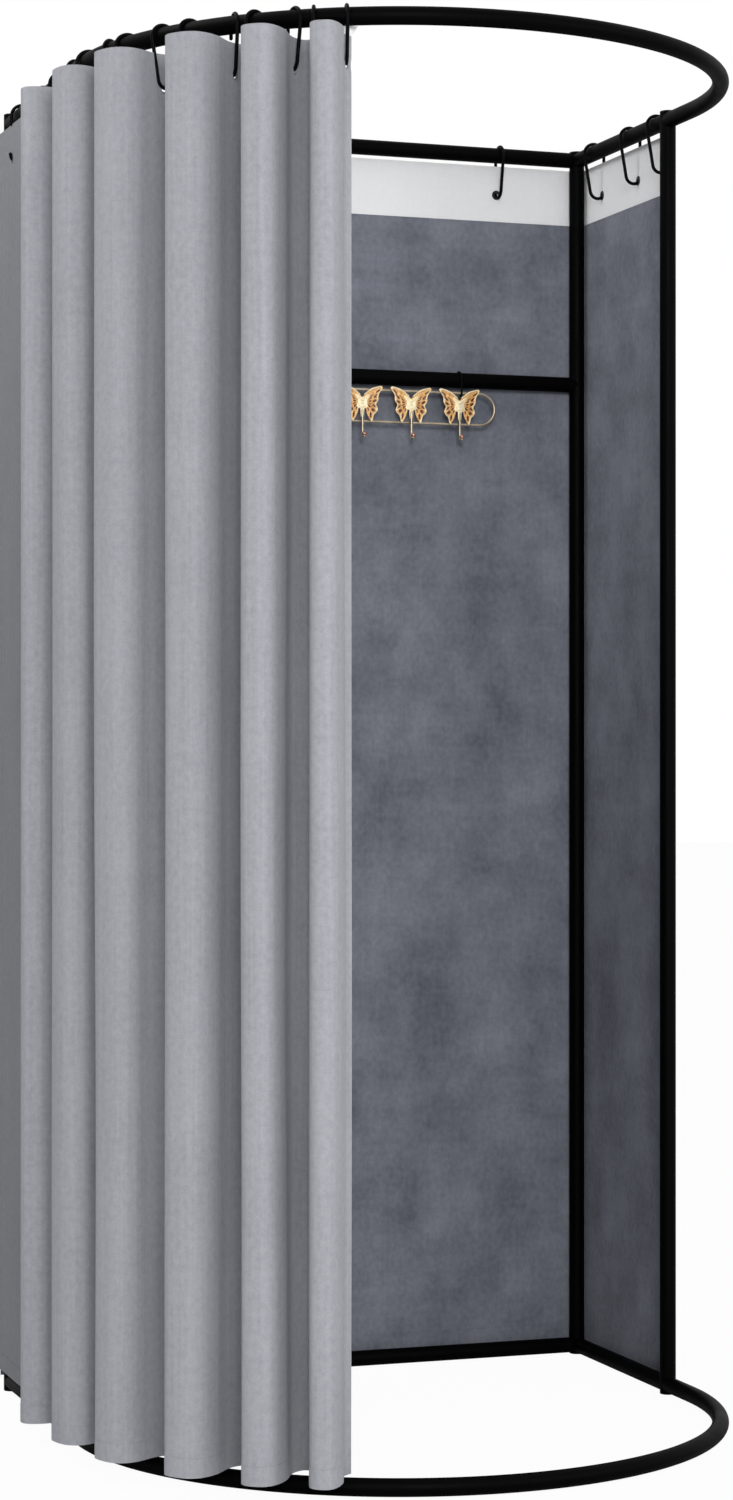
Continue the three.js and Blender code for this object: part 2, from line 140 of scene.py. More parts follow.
# Rack
RACK_WIRE_RADIUS = 0.00225
RACK_HEIGHT = 0.0515
RACK_DROP = 0.022
RACK_END_REACH = 0.065
RACK_SHIFT = 0.012
ORNAMENT_PITCH = 0.0845
ORNAMENT_COUNT = 7
ORNAMENT_WIDTH = 0.0706
ORNAMENT_HEIGHT = 0.0572
ORNAMENT_THICKNESS = 0.0018
PEG_WIRE_RADIUS = 0.002
PEG_REACH = 0.0095
PEG_DROP = 0.0265
PEG_BALL_RADIUS = 0.004
HANGER_WIRE_RADIUS = 0.0015
HANGER_SHIFT = 0.004
HANGER_WRAP = math.radians(55)

# Counts
TUBE_SIDES = 40
BOW_STEPS = 144
WIRE_SIDES = 16
RIDGE_SIDES = 8
EYELET_SIDES = 32
BALL_SIDES = 24
BEAD_SIDES = 14
BEND_STEPS = 24
WAVE_STEPS = 240
DOME_STEPS = 4
BALL_STEPS = 16
OUTLINE_STEPS = 4
PATCH_CELLS = 8

# Places that follow from the sizes
TUBE_BORE = TUBE_RADIUS - TUBE_WALL
LOW_RAIL = CAP_THICKNESS + TUBE_RADIUS
HIGH_RAIL = OVERALL_HEIGHT - CAP_THICKNESS - TUBE_RADIUS
CROSSBAR_HEIGHT = HIGH_RAIL - CROSSBAR_DROP
WALL_TOP = HIGH_RAIL - HOOK_DROP + WALL_HEADER
CURTAIN_TOP = HIGH_RAIL - HOOK_DROP + CURTAIN_HEADER
BACK_DEPTH = POST_SETBACK + SIDE_SPAN
WALL_OUTER = WALL_OFFSET + CLOTH_THICKNESS
COPE = TUBE_RADIUS + TOUCH_GAP
SHARP_EDGE = math.radians(38)

X = np.array([1.0, 0.0, 0.0])
Y = np.array([0.0, 1.0, 0.0])
Z = np.array([0.0, 0.0, 1.0])


def at(x, y, z):
    return np.array([x, y, z], float)


def unit(vectors):
    return vectors / np.linalg.norm(vectors, axis=-1, keepdims=True)


def smoothstep(value):
    share = np.clip(value, 0, 1)
    return share * share * (3 - 2 * share)


def on_the_way(start, end, shares):
    return [start + (end - start) * share for share in shares]


def arc(centre, first, second, radius, start, end, steps=BEND_STEPS):
    angles = np.linspace(start, end, steps + 1)[:, None]
    return centre + radius * (np.cos(angles) * first + np.sin(angles) * second)


# Meshes


class Parts:
    """Points and faces of one piece, gathered from its shapes."""

    def __init__(self):
        self.points = []
        self.faces = []
        self.finishes = []
        self.count = 0

    def add(self, points, faces, finish=0):
        points = np.asarray(points, float).reshape(-1, 3)
        self.points.append(points)
        self.faces += [tuple(int(i) + self.count for i in face) for face in faces]
        self.finishes += [finish] * len(faces)
        self.count += len(points)
        return self

    def mesh(self, name, looks):
        mesh = bpy.data.meshes.new(name)
        mesh.from_pydata((np.vstack(self.points) + CENTRE).tolist(), [], self.faces)
        for look in looks:
            mesh.materials.append(look)
        mesh.polygons.foreach_set("material_index", self.finishes)
        shape = bmesh.new()
        shape.from_mesh(mesh)
        bmesh.ops.recalc_face_normals(shape, faces=shape.faces)
        shape.to_mesh(mesh)
        shape.free()
        mesh.polygons.foreach_set("use_smooth", [True] * len(mesh.polygons))
        mesh.set_sharp_from_angle(angle=SHARP_EDGE)
        mesh.update()
        return mesh


def new_object(name, data):
    thing = bpy.data.objects.new(name, data)
    bpy.context.scene.collection.objects.link(thing)
    return thing


def place_piece(name, mesh, body=None, replaces=(), place=(0, 0, 0)):
    piece = new_object(name, mesh)
    piece.location = place
    if replaces:
        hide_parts(*replaces)
    if body:
        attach(piece, body)
    return piece


def stand_in(name, kind, parts, slot, body="frame"):
    """A piece in one plain look, for the solid of the same name."""
    place_piece(f"{name}_{kind}", parts.mesh(name, [PLAIN_LOOKS[slot]]), body, [name])


def quads(rows, columns, closed_rows=False, closed_columns=True):
    """Faces of a grid of points, row by row, that may close on itself either way."""
    faces = []
    for row in range(rows if closed_rows else rows - 1):
        first, second = row * columns, ((row + 1) % rows) * columns
        for column in range(columns if closed_columns else columns - 1):
            after = (column + 1) % columns
            faces.append((first + column, first + after, second + after, second + column))
    return faces


def closed_ends(rings, poles):
    """Points and faces of a row of rings, with each end closed round its pole."""
    high, sides = rings.shape[:2]
    faces = quads(high, sides)
    count, last = high * sides, (high - 1) * sides
    for side in range(sides):
        after = (side + 1) % sides
        faces += [(count, after, side), (count + 1, last + side, last + after)]
    return np.vstack([rings.reshape(-1, 3), poles]), faces


def directions(points, normal):
    """Along, beside and over a flat line whose plane has that normal, at each of its points."""
    along = unit(np.gradient(points, axis=0))
    beside = unit(np.cross(along, normal))
    return along, beside, np.cross(beside, along)


def circle(sides):
    angles = np.linspace(0, 2 * math.pi, sides, endpoint=False)
    return np.cos(angles), np.sin(angles)


def rings_along(centres, radii, beside, over, sides=WIRE_SIDES):
    cos, sin = circle(sides)
    spokes = cos[None, :, None] * beside[:, None] + sin[None, :, None] * over[:, None]
    return centres[:, None] + radii[:, None, None] * spokes


def wire(parts, points, radius, normal, finish=0, sides=WIRE_SIDES):
    """A round wire with domed ends along a flat line."""
    points = np.asarray(points, float)
    along, beside, over = directions(points, normal)
    angles = np.linspace(0, math.pi / 2, DOME_STEPS, endpoint=False)[1:, None]
    lift, shrink = np.sin(angles), np.cos(angles)[:, 0]
    lead = points[0] - along[0] * radius * lift[::-1]
    tail = points[-1] + along[-1] * radius * lift
    radii = radius * np.concatenate([shrink[::-1], np.ones(len(points)), shrink])
    beside, over = (np.pad(way, ((len(lift),) * 2, (0, 0)), "edge") for way in (beside, over))
    rings = rings_along(np.vstack([lead, points, tail]), radii, beside, over, sides)
    poles = [points[0] - along[0] * radius, points[-1] + along[-1] * radius]
    return parts.add(*closed_ends(rings, poles), finish)


def no_cope(beside, over):
    return np.zeros_like(beside)


def post_cope(beside, over):
    """How far a rail's end stands from the post's centre, so that it fits the round post."""
    return np.sqrt(COPE**2 - np.clip(beside, -TUBE_RADIUS, TUBE_RADIUS) ** 2)


def corner_cope(inward):
    """A side rail's end at a back corner, fitted to the post and to the back rail."""

    def cope(beside, over):
        over = np.clip(over, -TUBE_RADIUS, TUBE_RADIUS)
        rail = np.where(beside * inward > 0, np.sqrt(COPE**2 - over**2), 0)
        return np.maximum(post_cope(beside, over), rail)

    return cope


def tube(parts, points, bore, normal=Z, copes=(no_cope, no_cope), radius=TUBE_RADIUS):
    """An open tube along a flat line: each end is shaped by its cope, and slightly chamfered."""
    points = np.asarray(points, float)
    along, beside, over = directions(points, normal)
    cos, sin = circle(TUBE_SIDES)
    last = len(points) - 1

    def ring(index, size, inset=0):
        across, up = size * cos, size * sin
        base = points[index] + across[:, None] * beside[index] + up[:, None] * over[index]
        if index not in (0, last):
            return base
        cope, sign = (copes[1], -1) if index else (copes[0], 1)
        return base + sign * (cope(across, up) + inset)[:, None] * along[index]

    between = range(1, last)
    inner = radius - TUBE_CHAMFER
    rings = [ring(0, inner), ring(0, radius, TUBE_CHAMFER), *(ring(k, radius) for k in between)]
    rings += [ring(last, radius, TUBE_CHAMFER), ring(last, inner), ring(last, bore)]
    rings += [*(ring(k, bore) for k in between[::-1]), ring(0, bore)]
    return parts.add(np.array(rings), quads(len(rings), TUBE_SIDES, closed_rows=True))


def turned(parts, profile, centre, axis, first, second, closed=False, sides=TUBE_SIDES, finish=0):
    """A turned shape: the profile is a list of (radius, height); it ends on the axis or is closed."""
    cos, sin = circle(sides)
    spokes = cos[:, None] * first + sin[:, None] * second
    body = profile if closed else [point for point in profile if point[0] > 0]
    rings = np.array([centre + height * axis + radius * spokes for radius, height in body])
    if closed:
        return parts.add(rings, quads(len(rings), sides, closed_rows=True), finish)
    poles = [centre + profile[k][1] * axis for k in (0, -1)]
    return parts.add(*closed_ends(rings, poles), finish)


# Materials


def srgb(*levels):
    """A display colour from 0 to 255, as the linear colour that a shader takes."""
    shares = [level / 255 for level in levels]
    return tuple(s / 12.92 if s <= 0.04045 else ((s + 0.055) / 1.055) ** 2.4 for s in shares) + (1,)


class Nodes:
    """A node tree, with small helpers that add nodes to it."""

    def __init__(self, owner):
        owner.use_nodes = True
        self.tree = owner.node_tree

    def put(self, node, inputs):
        """Links a socket to an input, or sets the input's own value."""
        for name, value in inputs.items():
            if isinstance(value, bpy.types.NodeSocket):
                self.tree.links.new(value, node.inputs[name])
            else:
                node.inputs[name].default_value = value
        return node

    def node(self, kind, inputs=None, **settings):
        node = self.tree.nodes.new(kind)
        for name, value in settings.items():
            setattr(node, name, value)
        return self.put(node, inputs or {})

    def maths(self, operation, first, second=0.0, third=0.0):
        inputs = {0: first, 1: second, 2: third}
        return self.node("ShaderNodeMath", inputs, operation=operation).outputs[0]

    def send(self, output, share, under, over):
        """Sends a shader out, with a share of another one over it."""
        inputs = {0: share, 1: under.outputs[0], 2: over.outputs[0]}
        surface = self.node("ShaderNodeMixShader", inputs).outputs[0]
        self.put(self.tree.nodes[output], {"Surface": surface})


# Each kind of unevenness: waves to a metre, detail, roughness, and how it is stretched
NOISES = {
    "mottle": (14.0, 3.0),
    "pebble": (900.0, 2.0),
    "scuff": (2.0, 6.0, 0.5, (60, 60, 9)),
    "drawn": (6.0, 3.0, 0.5, (90, 90, 8)),
    "spark": (1400.0, 2.0),
    "tarnish": (60.0, 4.0, 0.6),
    "scratch": (1500.0, 2.0),
    "pool": (190.0, 4.0, 0.6),
    "speck": (800.0, 2.0),
    "fleck": (420.0, 2.0, 0.6),
    "blotch": (1.0, 3.0, 0.6, (120, 95, 1)),
    "streak": (1.0, 3.0, 0.5, (170, 3, 1)),
    "cloud": (1.0, 4.0, 0.6, (9, 6, 1)),
    # painted light and shade of soft creases: lighter and darker horizontal bands in the colour, with no
    # relief
    "crease_shade": (1.0, 4.0, 0.6, (4, 26, 1)),
}
DEPTHS = {
    "pebble": 0.00004, "drawn": 0.00003, "spark": 0.00005, "scratch": 0.00003, "pool": 0.0002,
    "speck": 0.00003, "weave": 0.00012, "fleck": 0.0001, "blotch": 0.0002, "seam": 0.00015,
}  # fmt: skip
MOST = (0.3, 0.7)  # the levels between which most of a noise lies
NEARLY_ALL = (0.2, 0.8)
WORN = (0.66, 0.74)  # the levels between which wear begins and is complete
HOLLOWS = (0.32, 0.52)  # where pooled colour goes from dark to its middle tone
CRESTS = (0.5, 0.7)  # and where it goes on to light
TUBE_ROUGHNESS = (0.46, 0.58)
CLOTH_ROUGHNESS = (0.82, 0.95)
ENAMEL_ROUGHNESS = (0.3, 0.5)


class Look(Nodes):
    """A Principled material. In a socket's name, an underscore stands for a space."""

    def __init__(self, name, **constants):
        self.material = bpy.data.materials.new(name)
        super().__init__(self.material)
        self.shader = self.tree.nodes["Principled BSDF"]
        self.feed(**constants)

    def feed(self, **sockets):
        self.put(self.shader, {name.replace("_", " "): value for name, value in sockets.items()})

    def place(self, attribute=None):
        if attribute:
            return self.node("ShaderNodeAttribute", attribute_name=attribute).outputs["Vector"]
        return self.node("ShaderNodeTexCoord").outputs["Object"]

    def noise(self, kind, vector):
        scale, detail, *rest = NOISES[kind]
        roughness = rest[0] if rest else 0.5
        if len(rest) > 1:
            vector = self.node("ShaderNodeMapping", {"Vector": vector, "Scale": rest[1]}).outputs["Vector"]
        inputs = {"Vector": vector, "Scale": scale, "Detail": detail, "Roughness": roughness}
        return self.node("ShaderNodeTexNoise", inputs).outputs["Fac"]

    def levels(self, value, low, high, start=0.0, end=1.0):
        """Maps low..high to start..end, and holds the ends."""
        inputs = {0: value, 1: low, 2: high, 3: start, 4: end}
        return self.node("ShaderNodeMapRange", inputs, clamp=True).outputs[0]

    def mix(self, factor, first, second):
        inputs = {0: factor, 6: first, 7: second}
        return self.node("ShaderNodeMix", inputs, data_type="RGBA").outputs[2]

    def apart(self, vector):
        return self.node("ShaderNodeSeparateXYZ", {0: vector}).outputs

    def bump(self, **layers):
        """Each layer is a height from 0 to 1, where 1 stands for that layer's depth."""
        below = {}
        for layer, height in layers.items():
            inputs = {"Height": height, "Distance": DEPTHS[layer], "Strength": 1.0, **below}
            below = {"Normal": self.node("ShaderNodeBump", inputs).outputs["Normal"]}
        self.feed(**below)


BLACK_GLOSS = 0.03  # share of the usual mirror strength that the black finishes keep
SCUFF_SHARE = 0.3  # how far the worn places show


def black_tube_look():
    """Powder coat: a fine pebble, faint mottling and worn places along the tube."""
    look = Look("black_tube", IOR=1.5, Specular_IOR_Level=BLACK_GLOSS, Metallic=0.0)
    place = look.place()
    mottle = look.noise("mottle", place)
    scuff = look.maths("MULTIPLY", look.levels(look.noise("scuff", place), *WORN), SCUFF_SHARE)
    base = look.mix(mottle, srgb(1, 1, 1), srgb(3, 3, 4))
    look.feed(
        Base_Color=look.mix(scuff, base, srgb(17, 17, 19)),
        Roughness=look.levels(mottle, *MOST, *TUBE_ROUGHNESS),
    )
    look.bump(pebble=look.noise("pebble", place))
    return look.material


def painted_look(name, kind, dark, light, low, high, **constants):
    """Paint or plastic: one grain gives its tone, its gloss and its relief."""
    look = Look(name, **constants)
    grain = look.noise(kind, look.place())
    look.feed(Base_Color=look.mix(grain, dark, light), Roughness=look.levels(grain, *MOST, low, high))
    look.bump(**{kind: grain})
    return look.material


# A cloth's points carry their place in the flat sheet and how far they are from its edges.
FLAT_PLACE = "flat_place"
EDGE_PLACE = "edge_place"
THREAD_PITCH = 0.0011
STITCH_PITCH = 0.0042
STITCH_WIDTH = 0.0009
STITCH_EDGE = 0.0003  # over which a stitch's side fades
STITCH_ENDS = (0.3, 0.4)  # shares of the pitch from a stitch's middle, over which its end fades
STITCH_TONE = 0.16


def stitches(look, along, across, line):
    """1 on the stitches of a seam at that distance from an edge."""
    near = look.maths("ABSOLUTE", look.maths("SUBTRACT", across, line))
    on_line = look.levels(near, STITCH_WIDTH / 2, STITCH_WIDTH / 2 + STITCH_EDGE, 1.0, 0.0)
    step = look.maths("FRACT", look.maths("DIVIDE", along, STITCH_PITCH))
    from_middle = look.maths("ABSOLUTE", look.maths("SUBTRACT", step, 0.5))
    on_stitch = look.levels(from_middle, *STITCH_ENDS, 1.0, 0.0)
    return look.maths("MULTIPLY", on_line, on_stitch)


# How far each kind of unevenness swings the tone, as a share of the way from dark to light; the crease
# bands are painted light and shade
GREY_SWINGS = {"fleck": 0.35, "blotch": 0.5, "streak": 0.3, "cloud": 0.25, "crease_shade": 0.1}
SLATE_SWINGS = {"fleck": 0.18, "blotch": 0.7, "streak": 0.15, "cloud": 1.7, "crease_shade": 0.45}
TAPE_SWINGS = {"fleck": 0.4, "blotch": 0.4, "streak": 0.2, "cloud": 0.3, "crease_shade": 0.2}


def cloth_look(name, light, dark, swings, thread=THREAD_PITCH, seams=()):
    """Plain-woven cloth: threads, flecks, blotches, streaks, clouds of colour, bands of painted crease
    light and shade, seams.
    """
    look = Look(name, IOR=1.45, Specular_IOR_Level=0.25, Sheen_Weight=0.08, Sheen_Roughness=0.5)
    flat = look.place(FLAT_PLACE)
    across, up, _ = look.apart(flat)
    weft, warp = (
        look.maths("SINE", look.maths("MULTIPLY", way, 2 * math.pi / thread)) for way in (up, across)
    )
    weave = look.levels(look.maths("MULTIPLY", weft, warp), -1.0, 1.0)
    kinds = {kind: look.noise(kind, flat) for kind in swings}
    tone = 0.5
    for kind, swing in swings.items():
        tone = look.maths("MULTIPLY_ADD", look.maths("SUBTRACT", kinds[kind], 0.5), swing, tone)
    edges = look.apart(look.place(EDGE_PLACE))
    sewn = 0.0
    for way, line in seams:
        sewn = look.maths("MAXIMUM", sewn, stitches(look, across if way > 0 else up, edges[way], line))
    colour = look.mix(look.levels(tone, 0.0, 1.0), dark, light)
    look.feed(
        Base_Color=look.mix(look.maths("MULTIPLY", sewn, STITCH_TONE), colour, dark),
        Roughness=look.levels(kinds["fleck"], *NEARLY_ALL, *CLOTH_ROUGHNESS),
    )
    look.bump(
        weave=weave, fleck=kinds["fleck"], blotch=kinds["blotch"], seam=look.maths("SUBTRACT", 1.0, sewn)
    )
    return look.material


def metal_look(name, light, dark, low, high, metallic):
    look = Look(name, Metallic=metallic, IOR=1.6)
    place = look.place()
    tone = look.noise("tarnish", place)
    look.feed(
        Base_Color=look.mix(look.levels(tone, *MOST), dark, light),
        Roughness=look.levels(tone, *MOST, low, high),
    )
    look.bump(scratch=look.noise("scratch", place))
    return look.material


def enamel_look(name, light, middle, dark):
    """Glazed enamel: pooled colour, darker in the hollows, under a thin gloss."""
    look = Look(name, Metallic=0.15, IOR=1.5, Coat_Weight=0.3, Coat_Roughness=0.15)
    place = look.place()
    pool, speck = (look.noise(kind, place) for kind in ("pool", "speck"))
    tone = look.mix(look.levels(pool, *HOLLOWS), dark, middle)
    look.feed(
        Base_Color=look.mix(look.levels(pool, *CRESTS), tone, light),
        Roughness=look.levels(speck, *MOST, *ENAMEL_ROUGHNESS),
    )
    look.bump(pool=pool, speck=speck)
    return look.material


TAPE_THREAD_PITCH = 0.0007
TAPE_SEAM = 0.003  # from a tape's lower and upper edge
SHEET_SEAMS = ((0, SIDE_HEM), (1, HEM_HEIGHT))
TAPE_SEAMS = ((1, TAPE_SEAM), (2, TAPE_SEAM))
grey_cloth = cloth_look(
    "curtain_cloth", srgb(190, 191, 197), srgb(130, 131, 137), GREY_SWINGS, seams=SHEET_SEAMS
)
outer_cloth = cloth_look(
    "wall_outer_cloth", srgb(152, 153, 158), srgb(103, 104, 109), GREY_SWINGS, seams=SHEET_SEAMS
)
slate_cloth = cloth_look(
    "wall_cloth", srgb(137, 141, 151), srgb(86, 89, 99), SLATE_SWINGS, seams=SHEET_SEAMS
)
white_tape = cloth_look(
    "header_tape", srgb(255, 255, 255), srgb(238, 238, 240), TAPE_SWINGS, TAPE_THREAD_PITCH, TAPE_SEAMS
)
dark_eyelet = metal_look("eyelet_metal", srgb(60, 60, 64), srgb(26, 26, 30), 0.28, 0.45, 0.8)
grey_eyelet = metal_look("painted_eyelet_metal", srgb(156, 157, 162), srgb(126, 127, 132), 0.4, 0.6, 0.2)
copper = metal_look("copper_metal", srgb(196, 148, 130), srgb(156, 108, 92), 0.2, 0.35, 0.6)
amber = enamel_look("amber_enamel", srgb(244, 204, 140), srgb(224, 168, 98), srgb(176, 108, 48))
umber = enamel_look("umber_enamel", srgb(122, 66, 24), srgb(84, 42, 16), srgb(50, 24, 10))
cream = enamel_look("cream_enamel", srgb(255, 246, 214), srgb(252, 234, 190), srgb(240, 212, 158))
# The looks of pieces that have one look only, by the slot they take
PLAIN_LOOKS = {
    "black_tube": black_tube_look(),
    "black_wire": painted_look(
        "black_wire", "drawn", srgb(4, 4, 6), srgb(13, 13, 15), 0.28, 0.45,
        IOR=1.5, Specular_IOR_Level=BLACK_GLOSS, Metallic=0.0,
    ),
    "black_plastic": painted_look(
        "black_plastic", "spark", srgb(9, 9, 10), srgb(18, 18, 19), 0.5, 0.68,
        IOR=1.46, Specular_IOR_Level=2 * BLACK_GLOSS,
    ),
    "gold_metal": metal_look("gold_metal", srgb(190, 176, 154), srgb(152, 137, 114), 0.26, 0.42, 0.7),
}  # fmt: skip

# Frame: posts, caps and rails

POSTS = {
    "front_left": (-BOW_RADIUS, POST_SETBACK),
    "front_right": (BOW_RADIUS, POST_SETBACK),
    "back_left": (-BOW_RADIUS, BACK_DEPTH),
    "back_right": (BOW_RADIUS, BACK_DEPTH),
}


def make_post(name, x, y):
    parts = Parts()
    low = at(x, y, CAP_THICKNESS + TOUCH_GAP)
    high = at(x, y, OVERALL_HEIGHT - CAP_THICKNESS - TOUCH_GAP)
    tube(parts, [low, (low + high) / 2, high], TUBE_BORE, normal=Y)
    is_back = y == BACK_DEPTH
    side_way, cross_way = (-Y, -X * np.sign(x)) if is_back else (Y, -Y)
    ways = [(height, way) for way in (side_way, cross_way) for height in (LOW_RAIL, HIGH_RAIL)]
    if is_back:
        ways.append((CROSSBAR_HEIGHT, cross_way))
    spigot = TUBE_BORE - PLUG_CLEARANCE
    for height, way in ways:
        foot = at(x, y, height)
        ends = [foot + way * TUBE_BORE, foot + way * SPIGOT_LENGTH]
        tube(parts, [ends[0], sum(ends) / 2, ends[1]], spigot - SPIGOT_WALL, radius=spigot)
    stand_in(name, "tube", parts, "black_tube")


def make_cap(name, x, y, plane, way):
    """A disc with a rounded rim and a shallow dish, and a ribbed plug inside the post."""
    plug = TUBE_BORE - PLUG_CLEARANCE
    rib = PLUG_CLEARANCE * 0.8
    tip = CAP_THICKNESS + PLUG_LENGTH
    dish = TUBE_RADIUS - 3 * CAP_ROUNDING
    profile = [
        (0, CAP_ROUNDING / 3),
        (dish - CAP_ROUNDING, CAP_ROUNDING / 3),
        (dish, 0),
        (TUBE_RADIUS - CAP_ROUNDING, 0),
        (TUBE_RADIUS - CAP_ROUNDING * 0.3, CAP_ROUNDING * 0.3),
        (TUBE_RADIUS, CAP_ROUNDING),
        (TUBE_RADIUS, CAP_THICKNESS - CAP_ROUNDING / 3),
        (TUBE_RADIUS - CAP_ROUNDING / 3, CAP_THICKNESS),
        (plug, CAP_THICKNESS),
    ]
    for share in CAP_RIB_SHARES:
        height = CAP_THICKNESS + share * PLUG_LENGTH
        profile += [(plug, height - rib), (plug + rib, height), (plug, height + rib)]
    profile += [(plug, tip - rib), (plug - rib, tip), (0, tip)]
    parts = turned(Parts(), profile, at(x, y, plane), way * Z, X, Y)
    stand_in(name, "plug", parts, "black_plastic")


for post_name, (post_x, post_y) in POSTS.items():
    make_post(f"post_{post_name}", post_x, post_y)
    make_cap(f"cap_{post_name}", post_x, post_y, OVERALL_HEIGHT, -1)
    make_cap(f"foot_{post_name}", post_x, post_y, 0, 1)


def make_rail(name, points, copes=(post_cope, post_cope)):
    stand_in(name, "tube", tube(Parts(), points, TUBE_BORE, copes=copes), "black_tube")


def straight(start, end):
    reach = unit(end - start) * 2 * TUBE_RADIUS
    return [start, start + reach, end - reach, end]


for level, height in (("bottom", LOW_RAIL), ("top", HIGH_RAIL)):
    bow = arc(at(0, 0, height), X, Y, BOW_RADIUS, math.pi, 2 * math.pi, BOW_STEPS)
    left, right, back_left, back_right = (at(x, y, height) for x, y in POSTS.values())
    near = Y * 2 * TUBE_RADIUS
    make_rail(f"{level}_front_bow", np.vstack([left, left - near, bow, right - near, right]))
    make_rail(f"{level}_back_rail", straight(back_left, back_right))
    # Looking along a side rail towards the back, +X is beside it.
    make_rail(f"{level}_left_rail", straight(left, back_left), (post_cope, corner_cope(1)))
    make_rail(f"{level}_right_rail", straight(right, back_right), (post_cope, corner_cope(-1)))
make_rail("crossbar", straight(*(at(side * BOW_RADIUS, BACK_DEPTH, CROSSBAR_HEIGHT) for side in (-1, 1))))

# Hooks


def hook_line(centre, out, bend_offset, drop):
    """From the short leg's tip over the rail, down the far side, and up through the cloth."""
    crown = TUBE_RADIUS + WIRE_RADIUS + SEAT_GAP
    curl = centre + Z * (crown - HOOK_CURL)
    bend = centre + out * bend_offset + Z * (HOOK_BEND - drop)
    tip = centre + out * HOOK_CURL - Z * HOOK_SHORT_LEG
    over = arc(curl, out, Z, HOOK_CURL, 0, math.pi)
    under = arc(bend, out, Z, HOOK_BEND, math.pi, 2 * math.pi)
    leg = on_the_way(tip, over[0], (0, 1 / 3, 2 / 3))
    down = on_the_way(over[-1], under[0], (1 / 4, 1 / 2, 3 / 4))
    return np.vstack([leg, over, down, under])


def make_hook(name, centre, out, bend_offset, body, drop=HOOK_DROP):
    line = hook_line(centre, out, bend_offset, drop)
    # The straight leg meets both bends at a slight angle, so the line is eased there.
    for _ in range(2):
        line[1:-1] = (line[:-2] + 2 * line[1:-1] + line[2:]) / 4
    stand_in(name, "wire", wire(Parts(), line, WIRE_RADIUS, np.cross(out, Z)), "black_wire", body)


def eyelet_drop(reach, bend_offset, radius=EYELET_RADIUS):
    """From the rail's centre down to the eyelet's: its upper rim rests on the wire."""
    across = reach + CLOTH_THICKNESS / 2 - bend_offset
    rise = math.sqrt(HOOK_BEND**2 - across**2)
    wire_top = HOOK_BEND - HOOK_DROP - rise + WIRE_RADIUS * HOOK_BEND / rise
    return TOUCH_GAP + radius - wire_top


def make_eyelet(name, centre, out, beside, body, look, radius=EYELET_RADIUS, flange=FLANGE_WIDTH):
    """A pressed ring with a rolled flange on both sides of the cloth and a short barrel."""
    barrel = radius - BARREL_WALL
    brim = radius + flange
    profile = []
    for side, depth in ((1, CLOTH_THICKNESS / 2), (-1, CLOTH_THICKNESS / 2 + TAPE_THICKNESS)):
        section = [
            (barrel, depth),
            (barrel + BARREL_WALL, depth + FLANGE_RISE * 0.8),
            ((barrel + brim) / 2, depth + FLANGE_RISE),
            (brim - BARREL_WALL, depth + FLANGE_RISE * 0.6),
            (brim, depth),
        ]
        profile += [(r, side * a) for r, a in (section if side > 0 else section[::-1])]
    over = np.cross(out, beside)
    parts = turned(Parts(), profile, centre, out, beside, over, closed=True, sides=EYELET_SIDES)
    place_piece(name, parts.mesh(name, [look]), body)


# Cloth: a sheet is a grid of points, places in the flat cloth, with round holes for eyelets


def graded(stops, step, eyelets=()):
    """Grid lines through the stops, about a step apart, and fine ones across each eyelet."""
    fine = [(centre - PATCH, centre + PATCH) for centre in eyelets]
    stops = [stop for stop in stops if not any(low < stop < high for low, high in fine)]
    ends = sorted(set(stops) | {end for pair in fine for end in pair})
    lines = [ends[0]]
    for low, high in zip(ends, ends[1:]):
        is_fine = any(math.isclose(low, start) for start, _ in fine)
        count = PATCH_CELLS if is_fine else max(1, round((high - low) / step))
        lines += np.linspace(low, high, count + 1)[1:].tolist()
    return np.array(lines)


RIM_SHARES = (0.35, 0.7, 1)  # places of the rings between a patch's edge and its hole


def holed_grid(columns, rows, eyelets):
    """Points (across, up) and faces of a sheet with holes: eyelets are (across, up, radius)."""
    n = PATCH_CELLS
    keep = np.ones((len(rows), len(columns)), bool)
    cells = keep[1:, 1:].copy()
    corners = []
    for across, up, _ in eyelets:
        i = int(np.argmin(abs(columns - (across - PATCH))))
        j = int(np.argmin(abs(rows - (up - PATCH))))
        keep[j + 1 : j + n, i + 1 : i + n] = False
        cells[j : j + n, i : i + n] = False
        corners.append((i, j))
    number = np.cumsum(keep).reshape(keep.shape) - 1
    points = [np.stack(np.meshgrid(columns, rows), -1)[keep]]
    count = len(points[0])
    faces = [
        (number[j, i], number[j, i + 1], number[j + 1, i + 1], number[j + 1, i])
        for j, i in np.argwhere(cells)
    ]
    for (i, j), (across, up, radius) in zip(corners, eyelets):
        loop = [(j, i + k) for k in range(n)] + [(j + k, i + n) for k in range(n)]
        loop += [(j + n, i + n - k) for k in range(n)] + [(j + n - k, i) for k in range(n)]
        edge = np.array([[columns[b], rows[a]] for a, b in loop])
        centre = np.array([across, up])
        rim = centre + radius * unit(edge - centre)
        before = [int(number[a, b]) for a, b in loop]
        for share in RIM_SHARES:
            points.append(edge + (rim - edge) * share)
            ring = list(range(count, count + len(loop)))
            count += len(loop)
            faces += zip(before, before[1:] + before[:1], ring[1:] + ring[:1], ring)
            before = ring
    return np.vstack(points), faces


def rim_edges(faces):
    """The edges that only one face has, in that face's own direction."""
    seen = {}
    for face in faces:
        for edge in zip(face, face[1:] + face[:1]):
            key = (min(edge), max(edge))
            seen[key] = None if key in seen else edge
    return [edge for edge in seen.values() if edge]


def two_sided(outer, inner, faces, finishes=(0, 1, 2)):
    """A thick sheet: an outer side, an inner side and a rim, with a finish for each."""
    count = len(outer)
    inner_faces = [tuple(i + count for i in face[::-1]) for face in faces]
    rim = [(b, a, a + count, b + count) for a, b in rim_edges(faces)]
    parts = Parts().add(np.vstack([outer, inner]), faces + inner_faces + rim)
    parts.finishes = np.repeat(finishes, [len(faces), len(faces), len(rim)]).tolist()
    return parts


